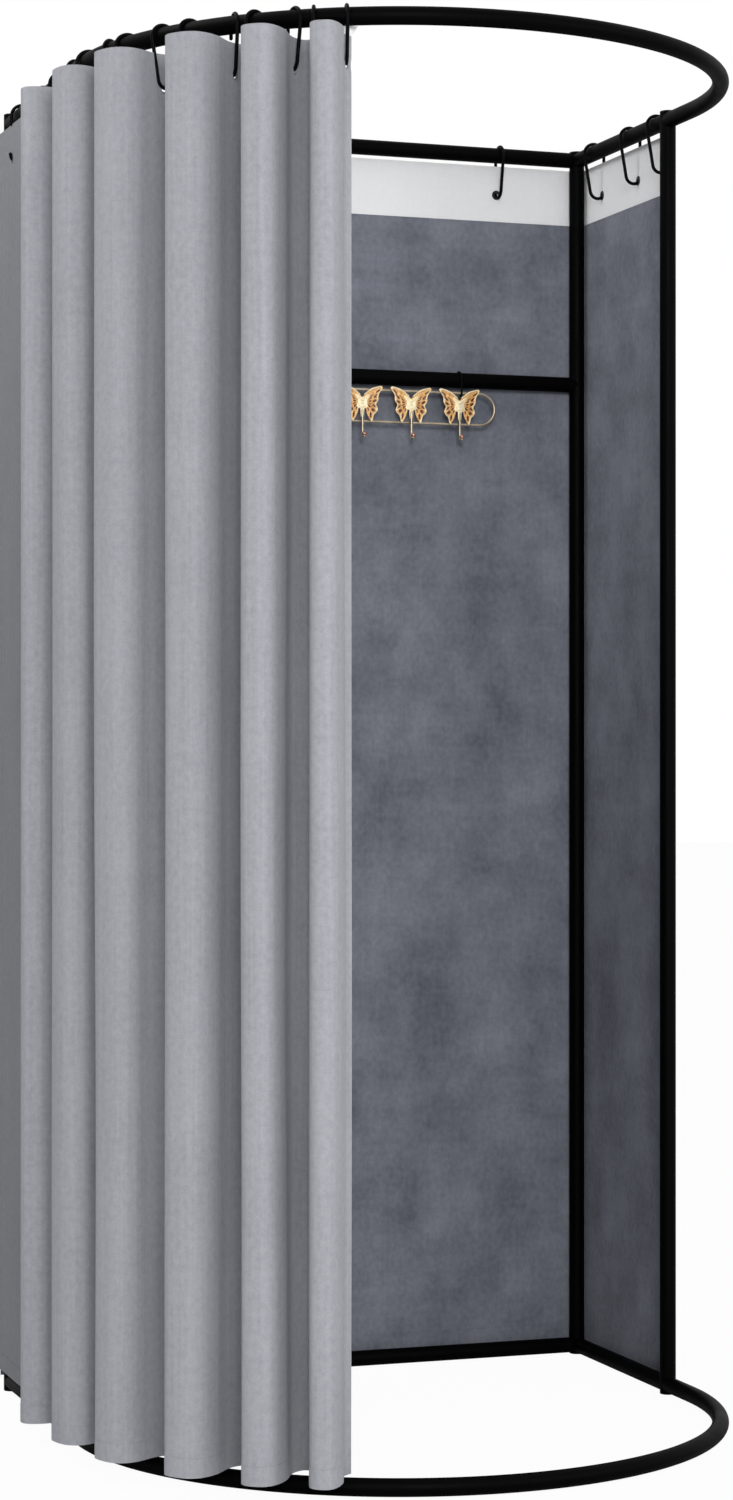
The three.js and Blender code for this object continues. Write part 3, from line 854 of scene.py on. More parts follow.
def cloth_mesh(name, grid, place, front, back, looks, edges):
    """A thick sheet. place gives points for (across, up); front and back are depths from them."""
    flat, faces = grid
    across, up = flat[:, 0], flat[:, 1]
    way = place(across + NUDGE, up) - place(across - NUDGE, up)
    rise = place(across, up + NUDGE) - place(across, up - NUDGE)
    normal = unit(np.cross(way, rise))
    outer = place(across, up) + normal * front(across, up)[:, None]
    inner = place(across, up) - normal * back(across, up)[:, None]
    mesh = two_sided(outer, inner, faces).mesh(name, looks)
    for attribute, values in ((FLAT_PLACE, (across, up, 0 * up)), (EDGE_PLACE, edges(across, up))):
        data = mesh.attributes.new(attribute, "FLOAT_VECTOR", "POINT")
        data.data.foreach_set("vector", np.tile(np.stack(values, -1), (2, 1)).astype(np.float32).ravel())
    return mesh


def spot(place, across, up):
    """One point of a cloth."""
    return place(np.array([across]), np.array([up]))[0]


STEP_WIDTH = 0.0003  # over which a hem or a tape's edge steps down


def ledge(distance, line):
    """1 within a line's distance of an edge, 0 beyond it, with a narrow step between."""
    return 1 - smoothstep((distance - line) / STEP_WIDTH)


def stepped(*lines):
    return [stop for line in lines for stop in (line, line + STEP_WIDTH)]


class Sheet:
    """The flat cut of a sheet: its width, its hem and its top."""

    def __init__(self, width, hem, top):
        self.width, self.hem, self.top = width, hem, top

    def edges(self, across, up):
        side = np.minimum(across, self.width - across)
        return side, up - self.hem, self.top - up

    def depth(self, across, up):
        """Half the cloth's thickness, more where it is turned over at its edges."""
        side, above, _ = self.edges(across, up)
        turned_over = np.maximum(ledge(side, SIDE_HEM), ledge(above, HEM_HEIGHT))
        return CLOTH_THICKNESS / 2 + HEM_SWELL * turned_over


WAVE_RANGE = (0.6, 1.5)  # how many waves go to a pitch, at least and at most


def waves(across, up, seed, count, across_pitch, up_pitch):
    """A smooth wandering value of about -1 to 1: a sum of sines with seeded phases."""
    random = np.random.default_rng(seed)
    total = 0
    for _ in range(count):
        a, b = random.uniform(*WAVE_RANGE, 2)
        phase, lean = random.uniform(0, 2 * math.pi), random.uniform(-1, 1)
        total = total + np.sin(
            2 * math.pi * (a * across / across_pitch + lean * b * up / up_pitch) + phase
        )
    return total / math.sqrt(count)


def sheet_meshes(names, sheet, tape_height, columns, row_step, eyelets, place, outer_look):
    """The meshes of a sheet and of the header tape on its inner side."""
    tape = Sheet(sheet.width, sheet.top - tape_height, sheet.top)
    grids = [
        holed_grid(columns, graded(stops, row_step, [eyelets[0][1]]), eyelets)
        for stops in ([sheet.hem, *stepped(sheet.hem + HEM_HEIGHT), sheet.top], [tape.hem, tape.top])
    ]

    def under(across, up):
        return -sheet.depth(across, up) - TAPE_GAP

    def over(across, up):
        return sheet.depth(across, up) + TAPE_THICKNESS

    looks = [outer_look, slate_cloth, outer_look]
    return (
        cloth_mesh(names[0], grids[0], place, sheet.depth, sheet.depth, looks, sheet.edges),
        cloth_mesh(names[1], grids[1], place, under, over, [white_tape] * 3, tape.edges),
    )


# Wall sheets: across runs from a sheet's start, so that its outer side is in front

STILL_HEADER = 0.1  # at the top of a sheet, where its tape keeps it flat
HEADER_FADE = 0.3
STILL_SIDE = 0.03  # along a wall's sides, which are stretched round the posts
SIDE_FADE = 0.12
HEM_SHARE = 0.35  # of the swell that is left at the hem
HEM_FADE = 0.4
WALL_SWELL = 0.0022
# Share of the swell, seed, number of waves, and their pitch across and up
WALL_WAVES = ((0.6, 0, 5, 0.42, 1.6), (0.3, 9, 4, 0.17, 2.4))


def make_wall(side, start, way, out, width, stations, hook_drop=HOOK_DROP):
    hem = WALL_HEMS[side]
    reach = WALL_OFFSET + CLOTH_THICKNESS / 2
    drop = eyelet_drop(reach, WALL_HOOK_BEND_OFFSET) + hook_drop - HOOK_DROP
    eyelets = [(station, HIGH_RAIL - drop, EYELET_RADIUS) for station in stations]

    def place(across, up):
        near_side = smoothstep((np.minimum(across, width - across) - STILL_SIDE) / SIDE_FADE)
        below = smoothstep((WALL_TOP - up - STILL_HEADER) / HEADER_FADE)
        above = HEM_SHARE + (1 - HEM_SHARE) * smoothstep((up - hem) / HEM_FADE)
        drift = sum(waves(across, up, len(side) + seed, *kind) * share for share, seed, *kind in WALL_WAVES)
        swell = WALL_SWELL * near_side * below * above * (1 + drift)
        return start + across[:, None] * way + up[:, None] * Z + (reach + swell)[:, None] * out

    side_stops = [stop for line in stepped(SIDE_HEM) for stop in (line, width - line)]
    columns = graded([0, *side_stops, width], WALL_STEP, stations)
    name = f"wall_{side}"
    sheet = Sheet(width, hem, WALL_TOP)
    meshes = sheet_meshes(
        (name, f"{name}_tape"), sheet, WALL_TAPE_HEIGHT, columns, WALL_STEP, eyelets, place, outer_cloth
    )
    cloth = place_piece(f"{name}_cloth", meshes[0], "frame", [f"wall_sheet_{side}"])
    band = place_piece(f"{name}_header_tape", meshes[1], "frame")
    rings = [f"{name}_eyelet_{number}" for number in (1, 2, 3)]
    for ring, (station, up, radius) in zip(rings, eyelets):
        centre = spot(place, station, up)
        make_eyelet(ring, centre, out, way, "frame", dark_eyelet, radius, WALL_FLANGE_WIDTH)


def make_wall_hooks(name, start, way, out, shares, drop=HOOK_DROP):
    for number, share in enumerate(shares, 1):
        hook = f"wall_hook_{name}_{number}"
        make_hook(hook, start + way * share, out, WALL_HOOK_BEND_OFFSET, "frame", drop)


back_left, back_right = (at(side * BOW_RADIUS, BACK_DEPTH, HIGH_RAIL) for side in (-1, 1))
make_wall_hooks("back", back_left, X * 2 * BOW_RADIUS, Y, BACK_HOOK_SHARES)
make_wall_hooks("left", back_left, -Y * SIDE_SPAN, -X, SIDE_HOOK_SHARES, SIDE_HOOK_DROP)
make_wall_hooks("right", back_right, -Y * SIDE_SPAN, X, SIDE_HOOK_SHARES, SIDE_HOOK_DROP)

overrun = WALL_OFFSET - TOUCH_GAP
width = 2 * (BOW_RADIUS + overrun)
stations = sorted(width / 2 + BOW_RADIUS - 2 * BOW_RADIUS * share for share in BACK_HOOK_SHARES)
make_wall("back", at(width / 2, BACK_DEPTH, 0), -X, Y, width, stations)
width = SIDE_SPAN + WALL_OUTER + LEFT_OVERLAP
start = at(-BOW_RADIUS, BACK_DEPTH + WALL_OUTER, 0)
stations = [WALL_OUTER + SIDE_SPAN * share for share in SIDE_HOOK_SHARES]
make_wall("left", start, -Y, -X, width, stations, SIDE_HOOK_DROP)
width = SIDE_SPAN + WALL_OUTER + RIGHT_OVERLAP
start = at(BOW_RADIUS, POST_SETBACK - RIGHT_OVERLAP, 0)
stations = sorted(RIGHT_OVERLAP + SIDE_SPAN * (1 - share) for share in SIDE_HOOK_SHARES)
make_wall("right", start, Y, X, width, stations, SIDE_HOOK_DROP)

# Curtain: one line of rounded folds in plan, given by the run along the rail from the left
# front post and the offset outwards from the rail's centre line


def on_rail(run, offset):
    reach = BOW_RADIUS + offset
    angle = (run - POST_SETBACK) / BOW_RADIUS
    straight_part = run < POST_SETBACK
    x = np.where(straight_part, -reach, -reach * np.cos(angle))
    y = np.where(straight_part, POST_SETBACK - run, -reach * np.sin(angle))
    return x, y


def half_wave(centre, half, height, start, end, power=FOLD_POWER):
    angles = np.linspace(start, end, WAVE_STEPS + 1)
    across, up = np.cos(angles), np.sin(angles)
    run = centre + half * np.sign(across) * np.abs(across) ** (2 / power)
    offset = FOLD_MIDDLE + height * np.sign(up) * np.abs(up) ** (2 / power)
    return np.stack([run, offset], -1)


VALLEY_HEIGHT = FOLD_MIDDLE + VALLEY_DEPTH
folds = [
    (centre * CURTAIN_LENGTH, half * CURTAIN_LENGTH, reach * FOLD_REACH)
    for centre, half, reach in zip(FOLD_CENTRE_SHARES, FOLD_HALF_SHARES, FOLD_REACH_SHARES)
]
valleys = []
for (centre, half, _), after in zip(folds, [*folds[1:], None]):
    valley_half = (after[0] - after[1] - centre - half) / 2 if after else LAST_VALLEY_HALF
    valleys.append((centre + half + valley_half, valley_half))

first_share = ((FOLD_MIDDLE - FOLD_START) / VALLEY_HEIGHT) ** (FOLD_POWER / 2)
first_angle = 2 * math.pi - math.asin(first_share)
last_angle = math.pi + math.acos((1 - FREE_EDGE / LAST_VALLEY_HALF) ** (FOLD_POWER / 2))
line = [half_wave(folds[0][0] - 2 * folds[0][1], folds[0][1], VALLEY_HEIGHT, first_angle, 2 * math.pi)]
for index, ((centre, half, reach), (valley, valley_half)) in enumerate(zip(folds, valleys)):
    line.append(half_wave(centre, half, reach - FOLD_MIDDLE, math.pi, 0, CREST_POWER)[1:])
    end = 2 * math.pi if index < len(folds) - 1 else last_angle
    line.append(half_wave(valley, valley_half, VALLEY_HEIGHT, math.pi, end)[1:])
line = np.vstack(line)
far_side = smoothstep((line[:, 0] - folds[-1][0]) / folds[-1][1])
lean = FOLD_LEAN + LAST_FOLD_LEAN * far_side
line[:, 0] += LAST_FLANK_SHIFT * far_side + lean * smoothstep(line[:, 1] / FOLD_LEAN_DEPTH)
line_places = np.stack(on_rail(line[:, 0], line[:, 1]), -1)
line_lengths = np.concatenate([[0], np.cumsum(np.linalg.norm(np.diff(line_places, axis=0), axis=1))])
CURTAIN_WIDTH = float(line_lengths[-1])


def turned_by(way, angle):
    """A level direction, turned about the vertical."""
    cos, sin = math.cos(angle), math.sin(angle)
    return at(way[0] * cos - way[1] * sin, way[0] * sin + way[1] * cos, 0)


# Hooks: the wire goes through the shoulders of each valley, side 1 where it starts, -1 where it ends
depth_share = (FOLD_MIDDLE - CURTAIN_PIERCE * math.cos(HOOK_TURN)) / VALLEY_HEIGHT
across_share = (1 - depth_share**FOLD_POWER) ** (1 / FOLD_POWER)
shift = CURTAIN_PIERCE * math.sin(HOOK_TURN)
curtain_hooks = [
    (valley - side * half * across_share - side * shift, side)
    for valley, half in valleys
    for side in (1, -1)
][:-1]

hook_places = []
for number, (run, side) in enumerate(curtain_hooks, 1):
    is_last = number == len(curtain_hooks)
    run += LAST_FLANK_SHIFT if is_last else 0
    near = np.stack(on_rail(np.array(run), 0.0))
    radial = unit(np.stack(on_rail(np.array(run), 1.0)) - near)
    inward = -turned_by(radial, side * HOOK_TURN)
    body = "frame" if number == 1 else f"carrier_{number - 1:02d}"
    centre = at(near[0], near[1], HIGH_RAIL)
    turn = math.radians(HUNG_TURNS[number]) if number in HUNG_TURNS else side * HOOK_TURN
    hung = -turned_by(radial, turn)
    fall = HUNG_DROPS.get(number, HOOK_DROP)
    make_hook(f"curtain_hook_{number:02d}", centre, hung, CURTAIN_HOOK_BEND_OFFSET, body, fall)
    pierce = centre - CURTAIN_PIERCE * inward
    nearest = int(np.argmin(np.linalg.norm(line_places - pierce[:2], axis=1)))
    radius = LAST_EYELET_RADIUS if is_last else EYELET_RADIUS
    drop = eyelet_drop(-CURTAIN_PIERCE, CURTAIN_HOOK_BEND_OFFSET, radius) + fall - HOOK_DROP
    hook_places.append((float(line_lengths[nearest]), HIGH_RAIL - drop, radius, body))

SWAY = 0.0012
BREATH = 0.0022
FALL_RATE = 1.4
START_STILL = 0.03  # beside the curtain's tied edge
START_FADE = 0.15
END_LEAD = 0.05  # how far past the free edge the wandering would stop
END_FADE = 0.1
# Seed, number of waves, and their pitch across and up
SWAY_WAVES = (3, 4, 0.5, 1.5)
BREATH_WAVES = (4, 5, 0.21, 1.9)


def free_place(across, up):
    """The curtain's middle surface: the folds wander a little on their way down."""
    run = np.interp(across, line_lengths, line[:, 0])
    offset = np.interp(across, line_lengths, line[:, 1])
    fall = smoothstep((CURTAIN_TOP - STILL_HEADER - up) / (CURTAIN_TOP - CURTAIN_HEM) * FALL_RATE)
    start = smoothstep((across - START_STILL) / START_FADE)
    free = start * smoothstep((CURTAIN_WIDTH - across + END_LEAD) / END_FADE)
    run = run + SWAY * fall * free * waves(across, up, *SWAY_WAVES)
    offset = offset + BREATH * fall * free * waves(across, up, *BREATH_WAVES)
    x, y = on_rail(run, offset)
    return np.stack([x, y, up], -1)


curtain_eyelets = []
for across, up, radius, body in hook_places:
    way = spot(free_place, across + NUDGE, up) - spot(free_place, across - NUDGE, up)
    out = unit(np.cross(way, Z))
    curtain_eyelets.append((spot(free_place, across, up), unit(way), out, radius, body))


def curtain_place(across, up):
    """The middle surface, pressed flat round each eyelet."""
    points = free_place(across, up)
    for (station, height, radius, _), (centre, _, out, _, _) in zip(hook_places, curtain_eyelets):
        distance = np.hypot(across - station, up - height)
        brim = radius + FLANGE_WIDTH
        weight = 1 - smoothstep((distance - brim) / brim)
        proud = (points - centre) @ out
        points = points - (weight * proud)[:, None] * out
    return points


SEAM_STEP = 0.0008  # first and last columns of a span, narrow so that its join doesn't show
curtain_sheet = Sheet(CURTAIN_WIDTH, CURTAIN_HEM, CURTAIN_TOP)
stations = [across for across, _, _, _ in hook_places]
bodies = [body for _, _, _, body in hook_places]
side_stops = {stop for line in stepped(SIDE_HEM) for stop in (line, CURTAIN_WIDTH - line)}
fold_nodes = [f"curtain_fold_{number}" for number in range(1, len(folds) + 1)]


def bend_span(piece, number):
    """Finds the points at a span's two ends, beside its eyelets, which nothing uses, and bakes the piece's
    placement into its mesh.
    """
    ends = [
        spot(curtain_place, across, CURTAIN_TOP) + CENTRE
        for across in (stations[number - 1] + PATCH, stations[number] - PATCH)
    ]
    tuple(ends[0])
    tuple(ends[1])
    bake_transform(piece)


for number in range(1, len(stations)):
    is_first, is_last = number == 1, number == len(stations) - 1
    start = 0 if is_first else stations[number - 1] + PATCH
    end = CURTAIN_WIDTH if is_last else stations[number] + PATCH
    eyelets = [place[:3] for place in hook_places[0 if is_first else number : number + 1]]
    stops = {start, start + SEAM_STEP, end, end - SEAM_STEP}
    stops |= {stop for stop in side_stops if start < stop < end}
    meshes = sheet_meshes(
        (f"curtain_{number:02d}", f"curtain_tape_{number:02d}"),
        curtain_sheet,
        TAPE_HEIGHT,
        graded(sorted(stops), CURTAIN_STEP, [across for across, _, _ in eyelets]),
        CURTAIN_ROW_STEP,
        eyelets,
        curtain_place,
        grey_cloth,
    )
    cloth = place_piece(f"curtain_span_{number:02d}", meshes[0], None, fold_nodes)
    bend_span(cloth, number)
    band = place_piece(f"curtain_tape_{number:02d}", meshes[1])
    bend_span(band, number)
for number, (centre, beside, out, radius, body) in enumerate(curtain_eyelets, 1):
    make_eyelet(f"curtain_eyelet_{number:02d}", centre, out, beside, body, grey_eyelet, radius)

# The tape's loose corner, which stands up past the curtain's free edge
CORNER_START = -0.012
CORNER_REACH = 0.0125
CORNER_RISE = 0.0165
CORNER_LAP = 0.004
CORNER_CURL = 0.003
CORNER_CHORD = 0.002  # over which the edge's direction is taken
CORNER_TAPER_SHARE = 0.25
CORNER_STEPS = 14


def make_tape_corner():
    end_across = np.array([CURTAIN_WIDTH - CORNER_CHORD, CURTAIN_WIDTH])
    before, end = curtain_place(end_across, np.array([CURTAIN_TOP - CORNER_LAP] * 2))
    along = unit(end - before)
    out = unit(np.cross(along, Z))
    inner = CLOTH_THICKNESS / 2 + HEM_SWELL + TAPE_THICKNESS + TOUCH_GAP
    shares = np.linspace(0, 1, CORNER_STEPS + 1)
    run, up = (grid.ravel() for grid in np.meshgrid(shares, shares))
    reach = CORNER_START + (CORNER_REACH - CORNER_START) * run
    past = np.clip(reach / CORNER_REACH, 0, 1)
    low = CORNER_RISE * past
    rise = low + (CORNER_RISE + CORNER_LAP - low) * up * (1 - CORNER_TAPER_SHARE * past)
    curl = -inner + CORNER_CURL * smoothstep(reach / CORNER_REACH) * up
    middle = end + reach[:, None] * along + rise[:, None] * Z + curl[:, None] * out
    half = TAPE_THICKNESS / 2 * out
    faces = quads(CORNER_STEPS + 1, CORNER_STEPS + 1, closed_columns=False)
    parts = two_sided(middle + half, middle - half, faces, (0, 0, 0))
    place_piece("curtain_tape_corner", parts.mesh("tape_corner", [white_tape]), bodies[-1])


make_tape_corner()

# Rack: a wire loop, seven butterflies with pegs, and two hangers over the crossbar

RACK_TOP = CROSSBAR_HEIGHT - RACK_DROP
RACK_BOTTOM = RACK_TOP - RACK_HEIGHT
HANGER_CURL = TUBE_RADIUS + SEAT_GAP + HANGER_WIRE_RADIUS
HANGER_BEND = RACK_WIRE_RADIUS + TOUCH_GAP + HANGER_WIRE_RADIUS
RACK_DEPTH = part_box("rack_loop")[0].y + RACK_WIRE_RADIUS - CENTRE[1]
ORNAMENT_DEPTH = RACK_DEPTH - RACK_WIRE_RADIUS - TOUCH_GAP - ORNAMENT_THICKNESS / 2
ornament_places = [
    RACK_SHIFT + (k - (ORNAMENT_COUNT - 1) / 2) * ORNAMENT_PITCH for k in range(ORNAMENT_COUNT)
]


def make_loop():
    half = RACK_HEIGHT / 2
    end_x = ornament_places[-1] - RACK_SHIFT + RACK_END_REACH - half - RACK_WIRE_RADIUS
    points = []
    for side, start in ((1, -math.pi / 2), (-1, math.pi / 2)):
        centre = at(RACK_SHIFT + side * end_x, RACK_DEPTH, RACK_TOP - half)
        points.append(arc(centre, X, Z, half, start, start + math.pi, 2 * BEND_STEPS))
    ring = np.vstack(points)
    along = unit(np.roll(ring, -1, 0) - np.roll(ring, 1, 0))
    beside, over = unit(np.cross(along, Y)), np.tile(Y, (len(ring), 1))
    rings = rings_along(ring, np.full(len(ring), RACK_WIRE_RADIUS), beside, over)
    parts = Parts().add(rings, quads(len(ring), WIRE_SIDES, closed_rows=True))
    stand_in("rack_loop", "wire", parts, "gold_metal", "hook_rack")


make_loop()

# Half of the butterfly's outline, in shares of its half width and its height, bottom to top
WING_SHARES = [
    (0, 0.42), (0.1, 0.43), (0.18, 0.36), (0.21, 0.28), (0.25, 0.2), (0.31, 0.12), (0.38, 0.05),
    (0.44, 0), (0.5, 0.02), (0.53, 0.1), (0.57, 0.19), (0.64, 0.23), (0.72, 0.28), (0.755, 0.345),
    (0.73, 0.41), (0.68, 0.46), (0.7, 0.53), (0.77, 0.58), (0.8, 0.65), (0.79, 0.72), (0.84, 0.8),
    (0.91, 0.87), (0.98, 0.93), (1, 0.975), (0.95, 1), (0.82, 0.985), (0.66, 0.96), (0.5, 0.925),
    (0.35, 0.87), (0.22, 0.8), (0.13, 0.76), (0.07, 0.71), (0, 0.67),
]  # fmt: skip
TAIL_TIP, WING_TIP, WING_SHOULDER = 7, 24, 30  # places of these in the outline
ROOT_SHARE = (0.13, 0.56)
CELL_ROWS = ((0.26, 0.52), (0.62, 0.87))
CELL_COLUMNS = 6
CELL_SIDES = (0.14, 0.86)  # of its column's width
CELL_POINTS = 16
CELL_POWER = 0.7  # below 1, so that a cell's corners are fuller than an oval's
BEAD_SHARES = [(0.46, 0.035), (0.715, 0.345), (0.75, 0.63), (0.94, 0.955)]
BEAD_RADIUS = 0.0017
BEAD_HEIGHT_SHARE = 0.7  # of its radius
TOP_RIDGE = 0.0012
SIDE_RIDGE = 0.0007
BODY_SHARES = [
    (0, 0.1), (0.05, 0.12), (0.07, 0.28), (0.09, 0.36), (0.2, 0.37), (0.25, 0.42), (0.2, 0.51),
    (0.21, 0.6), (0.31, 0.69), (0.33, 0.75), (0.24, 0.745), (0.11, 0.68), (0, 0.66),
]  # fmt: skip
BODY_BEADS = ((0.6, 0.0026), (0.51, 0.0021), (0.4, 0.0015), (0.31, 0.0012))
BODY_RISE = 0.0016
BODY_BEAD_RISE = 0.0014
BACK_SHARE = 0.45  # the back plate's, of the ornament's thickness
BACK_BEVEL = 0.0001
LATTICE_BEVEL = 0.00018
BODY_BEVEL = 0.0007
# How an outline is drawn in and lifted, in the same shares
BACK_INSET = ((0.985, 0.985), (0, 0.007))
RIDGE_INSET = ((0.97, 0.985), (0, 0.006))
MERGE_DISTANCE = 0.00001  # points closer than this are one
AMBER, UMBER, CREAM = range(3)  # places of the butterfly's looks


def eased(points, steps=OUTLINE_STEPS):
    """A smooth line through the points, with that many steps to each."""
    points = np.asarray(points, float)
    last = len(points) - 1
    curve = []
    for k in range(last):
        a, b, c, d = (points[min(max(pick, 0), last)] for pick in (k - 1, k, k + 1, k + 2))
        for t in np.linspace(0, 1, steps, endpoint=False):
            bow = (2 * a - 5 * b + 4 * c - d) * t**2
            curve.append(0.5 * (2 * b + (c - a) * t + bow + (3 * b - a - 3 * c + d) * t**3))
    return np.array([*curve, points[-1]])


def mirrored(shares):
    right = eased(shares)
    left = right[1:-1][::-1] * [-1, 1]
    return np.vstack([right, left])


def drawn_in(outline, inset):
    return outline * inset[0] + inset[1]


def plate(parts, outlines, low, high, bevel, finish):
    """A flat plate from outlines in shares, holes among them, between two depths in front of y 0."""
    curve = bpy.data.curves.new("outline", "CURVE")
    curve.dimensions = "2D"
    curve.fill_mode = "BOTH"
    thick = high - low
    curve.extrude = thick / 2 - bevel
    curve.bevel_depth = bevel
    curve.bevel_resolution = 1
    for outline in outlines:
        spline = curve.splines.new("POLY")
        spline.points.add(len(outline) - 1)
        for point, (across, up) in zip(spline.points, outline):
            point.co = (across * ORNAMENT_WIDTH / 2, up * ORNAMENT_HEIGHT, 0, 1)
        spline.use_cyclic_u = True
    holder = new_object("outline", curve)
    bpy.context.view_layer.update()
    mesh = bpy.data.meshes.new_from_object(holder.evaluated_get(bpy.context.evaluated_depsgraph_get()))
    shape = bmesh.new()
    shape.from_mesh(mesh)
    bmesh.ops.remove_doubles(shape, verts=shape.verts, dist=MERGE_DISTANCE)
    points = np.array([v.co for v in shape.verts])
    faces = [[v.index for v in face.verts] for face in shape.faces]
    shape.free()
    bpy.data.objects.remove(holder)
    bpy.data.meshes.remove(mesh)
    placed = np.stack([points[:, 0], -(low + high) / 2 - points[:, 2], points[:, 1]], -1)
    parts.add(placed, faces, finish)


def wing_cells():
    """Rounded openings between the veins, from the wing's root out to its margin."""
    margin = eased(WING_SHARES[TAIL_TIP : WING_TIP + 1], 2 * OUTLINE_STEPS)
    cos, sin = (np.sign(way) * abs(way) ** CELL_POWER for way in circle(CELL_POINTS))
    root = np.array(ROOT_SHARE)
    cells = []
    for column in range(CELL_COLUMNS):
        low, high = ((column + side) / CELL_COLUMNS for side in CELL_SIDES)
        for inner, outer in CELL_ROWS:
            t = (low + high) / 2 + (high - low) / 2 * cos
            r = (inner + outer) / 2 + (outer - inner) / 2 * sin
            edge = margin[(t * (len(margin) - 1)).astype(int)]
            cells.append(root + (edge - root) * r[:, None])
    return cells


def bead(parts, across, up, depth, radius):
    """A low round dome on the plate's front."""
    angles = np.linspace(math.pi / 2, 0, DOME_STEPS + 1)
    height = radius * BEAD_HEIGHT_SHARE
    profile = [(0, -radius / 2), (radius, -radius / 2)]
    profile += [(radius * math.sin(a) if a else 0, height * math.cos(a)) for a in angles]
    turned(parts, profile, at(across, -depth, up), -Y, X, Z, sides=BEAD_SIDES, finish=CREAM)


def make_butterfly_mesh():
    """Back plate, pierced lattice, raised ridges, beads and body, with y 0 at the back."""
    parts = Parts()
    outline = mirrored(WING_SHARES)
    back, front = ORNAMENT_THICKNESS * BACK_SHARE, ORNAMENT_THICKNESS
    plate(parts, [drawn_in(outline, BACK_INSET)], 0, back, BACK_BEVEL, UMBER)
    holes = [cell * [side, 1] for cell in wing_cells() for side in (-1, 1)]
    plate(parts, [outline, *holes], back, front, LATTICE_BEVEL, AMBER)
    size = np.array([ORNAMENT_WIDTH / 2, ORNAMENT_HEIGHT])
    ridges = ((WING_TIP, WING_SHOULDER, TOP_RIDGE), (TAIL_TIP, WING_TIP, SIDE_RIDGE))
    for side in (-1, 1):
        for first, last, radius in ridges:
            edge = outline[OUTLINE_STEPS * first : OUTLINE_STEPS * last + 1]
            edge = drawn_in(edge, RIDGE_INSET) * size * [side, 1]
            ridge = np.stack([edge[:, 0], np.full(len(edge), -front), edge[:, 1]], -1)
            wire(parts, ridge, radius, Y, CREAM, RIDGE_SIDES)
        for across, up in BEAD_SHARES:
            bead(parts, side * across * size[0], up * size[1], front, BEAD_RADIUS)
    plate(parts, [mirrored(BODY_SHARES)], back, front + BODY_RISE, BODY_BEVEL, CREAM)
    for up, radius in BODY_BEADS:
        bead(parts, 0, up * size[1], front + BODY_BEAD_RISE, radius)
    parts.points = [np.vstack(parts.points) - CENTRE]
    return parts.mesh("butterfly", [amber, umber, cream])


butterfly_mesh = make_butterfly_mesh()

STEM_TOP_SHARE = 0.3  # of the ornament's height
COLLAR_SHARES = ((0, 1.25), (0.62, 1.25), (0.7, 1.1), (0.62, 0.75), (0, 0.7))  # of the ball's radius


def make_peg(name, x):
    stem_depth = ORNAMENT_DEPTH - ORNAMENT_THICKNESS / 2 - PEG_WIRE_RADIUS / 2
    bend = PEG_REACH / 2
    bend_centre = at(x, stem_depth - bend, RACK_BOTTOM - PEG_DROP + bend)
    curve = arc(bend_centre, Y, Z, bend, 0, -math.pi)
    top = at(x, stem_depth, RACK_BOTTOM + ORNAMENT_HEIGHT * STEM_TOP_SHARE)
    stem = on_the_way(top, curve[0], (0, 0.25, 0.5, 0.75))
    parts = wire(Parts(), np.vstack([stem, curve]), PEG_WIRE_RADIUS, X)
    radius = PEG_BALL_RADIUS
    angles = np.linspace(0, math.pi, BALL_STEPS + 1)[1:-1]
    ball = [(0, -radius), *((radius * math.sin(a), -radius * math.cos(a)) for a in angles), (0, radius)]
    turned(parts, ball, curve[-1], Z, X, Y, sides=BALL_SIDES, finish=1)
    collar = [(radius * across, -radius * up) for across, up in COLLAR_SHARES]
    turned(parts, collar, curve[-1], Z, X, Y, sides=BALL_SIDES)
    place_piece(name, parts.mesh(name, [PLAIN_LOOKS["gold_metal"], copper]), "hook_rack")


for number, x in enumerate(ornament_places, 1):
    place = Vector(at(x, ORNAMENT_DEPTH + ORNAMENT_THICKNESS / 2, RACK_BOTTOM) + CENTRE)
    node = f"rack_butterfly_{number}"
    place_piece(f"butterfly_{number}", butterfly_mesh, "hook_rack", [node], place)
    make_peg(f"peg_{number}", x)


def make_hanger(name, x):
    crown, seat = at(x, BACK_DEPTH, CROSSBAR_HEIGHT), at(x, RACK_DEPTH, RACK_TOP)
    over = arc(crown, Y, Z, HANGER_CURL, math.pi / 2 - HANGER_WRAP, math.pi)
    under = arc(seat, Y, Z, HANGER_BEND, math.pi, 2 * math.pi)
    parts = wire(Parts(), np.vstack([over, under]), HANGER_WIRE_RADIUS, X)
    stand_in(name, "wire", parts, "black_wire", "rack_hangers")


make_hanger("rack_hanger_left", ornament_places[0] + HANGER_SHIFT)
make_hanger("rack_hanger_right", ornament_places[-1] + HANGER_SHIFT)

# Stage: floor, background, lamps and camera

PICTURE_SIZE = (733, 1500)
FOCAL_PIXELS = 3237.45
PRINCIPAL_PIXEL = (367.97, 757.39)
SENSOR = 36.0
CAMERA_YAW = math.radians(-19.224)
CAMERA_PLACE = (-1.6245, -4.5325, 0.9922)
FLOOR_SIZE = 60.0
FLOOR_COLOUR = (0.9, 0.9, 0.9, 1)
FLOOR_GLOW = 0.96  # how far the camera sees the floor as white paper, the rest being lit
WHITE = (1, 1, 1, 1)
WORLD_COLOUR = (0.97, 0.98, 1.0, 1)
WORLD_LEVEL = 0.41
# Place, aim, size, and about how much each lamp adds to a surface that faces it at the aim
LAMPS = {
    "key": ((-1.6, -5.9, 2.5), (0, 0, 1), (1.5, 1.5), 0.485),
    "fill": ((3.6, -3.8, 2), (-0.2, 0, 1.2), (1.6, 1.6), 0.18),
    "top": ((-0.6, 0, 2.75), (0.35, 0.3, 1.7), (0.5, 0.5), 0.1),
    "side": ((-1.5, 0.3, 3.1), (-0.5, 0.3, 1.9), (0.5, 0.5), 0.5),
}


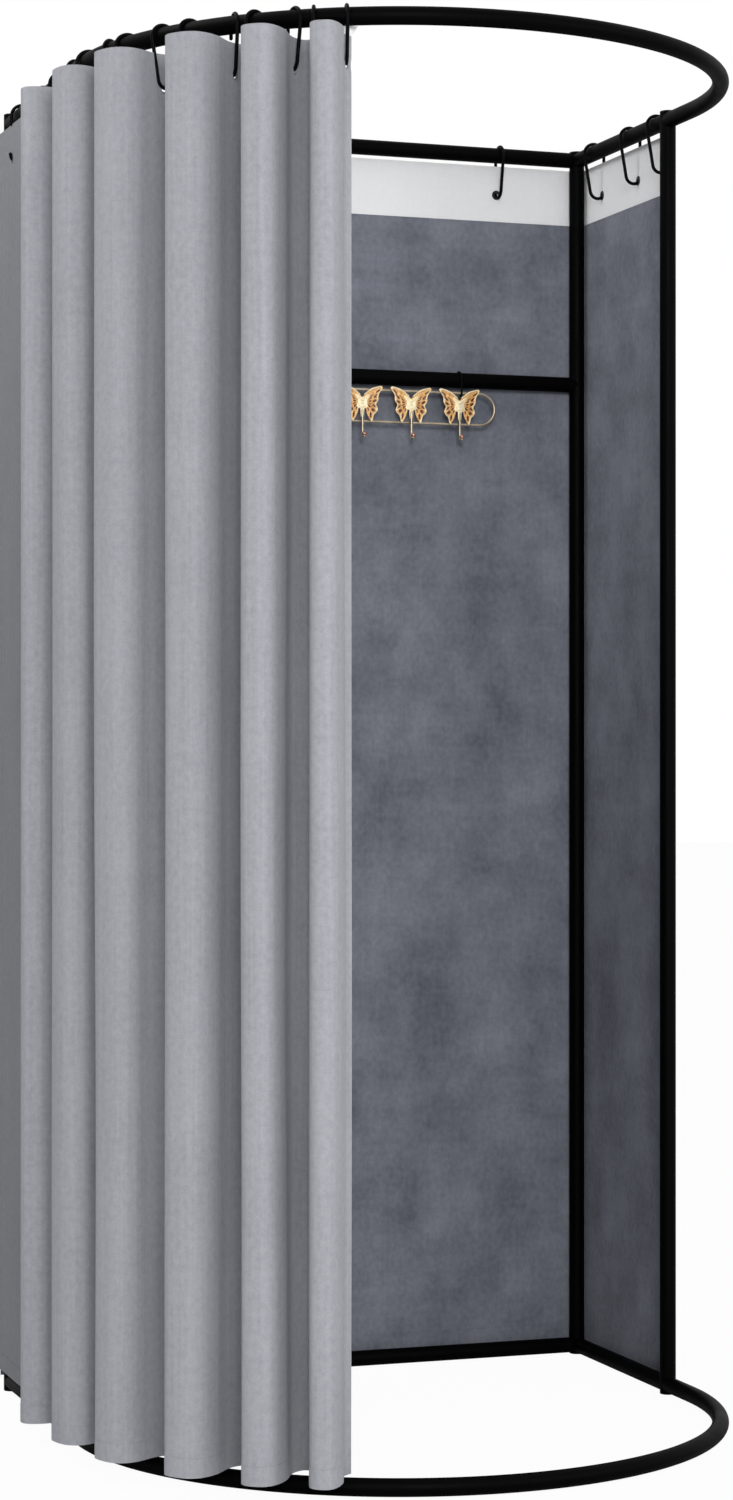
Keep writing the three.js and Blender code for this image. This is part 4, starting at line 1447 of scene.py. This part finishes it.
def make_floor():
    look = Look("floor", Base_Color=FLOOR_COLOUR, Roughness=0.9, Specular_IOR_Level=0.1)
    seen = look.node("ShaderNodeLightPath").outputs["Is Camera Ray"]
    white = look.node("ShaderNodeEmission", {"Color": WHITE})
    look.send("Material Output", look.maths("MULTIPLY", seen, FLOOR_GLOW), look.shader, white)
    mesh = bpy.data.meshes.new("floor")
    half = FLOOR_SIZE / 2
    corners = [(-half, -half, 0), (half, -half, 0), (half, half, 0), (-half, half, 0)]
    mesh.from_pydata(corners, [], [(0, 1, 2, 3)])
    mesh.materials.append(look.material)
    new_object("floor", mesh)


def make_world():
    world = bpy.data.worlds.new("studio")
    bpy.context.scene.world = world
    nodes = Nodes(world)
    light = nodes.put(nodes.tree.nodes["Background"], {"Color": WORLD_COLOUR, "Strength": WORLD_LEVEL})
    white = nodes.node("ShaderNodeBackground", {"Color": WHITE})
    rays = nodes.node("ShaderNodeLightPath").outputs
    seen = rays["Is Camera Ray"]
    for ray in ("Is Glossy Ray", "Is Transmission Ray"):
        seen = nodes.maths("MAXIMUM", seen, rays[ray])
    nodes.send("World Output", seen, light, white)


def make_lamp(name, place, aim, size, level):
    way = Vector(aim) - Vector(place)
    lamp = bpy.data.lights.new(name, "AREA")
    lamp.shape = "RECTANGLE"
    lamp.size, lamp.size_y = size
    lamp.energy = level * math.pi**2 * way.length_squared
    holder = new_object(name, lamp)
    holder.location = place
    holder.rotation_euler = way.to_track_quat("-Z", "Y").to_euler()


def make_camera():
    camera = bpy.data.cameras.new("camera")
    camera.sensor_width = SENSOR
    width, height = PICTURE_SIZE
    camera.lens = FOCAL_PIXELS * SENSOR / height
    camera.shift_x = (width / 2 - PRINCIPAL_PIXEL[0]) / height
    camera.shift_y = (PRINCIPAL_PIXEL[1] - height / 2) / height
    holder = new_object("camera", camera)
    holder.location = Vector(np.array(CAMERA_PLACE) + CENTRE)
    holder.rotation_euler = (math.pi / 2, 0, CAMERA_YAW)
    bpy.context.scene.camera = holder


make_floor()
make_world()
for name, lamp in LAMPS.items():
    make_lamp(name, *lamp)
make_camera()
bpy.context.scene.view_settings.view_transform = "Standard"
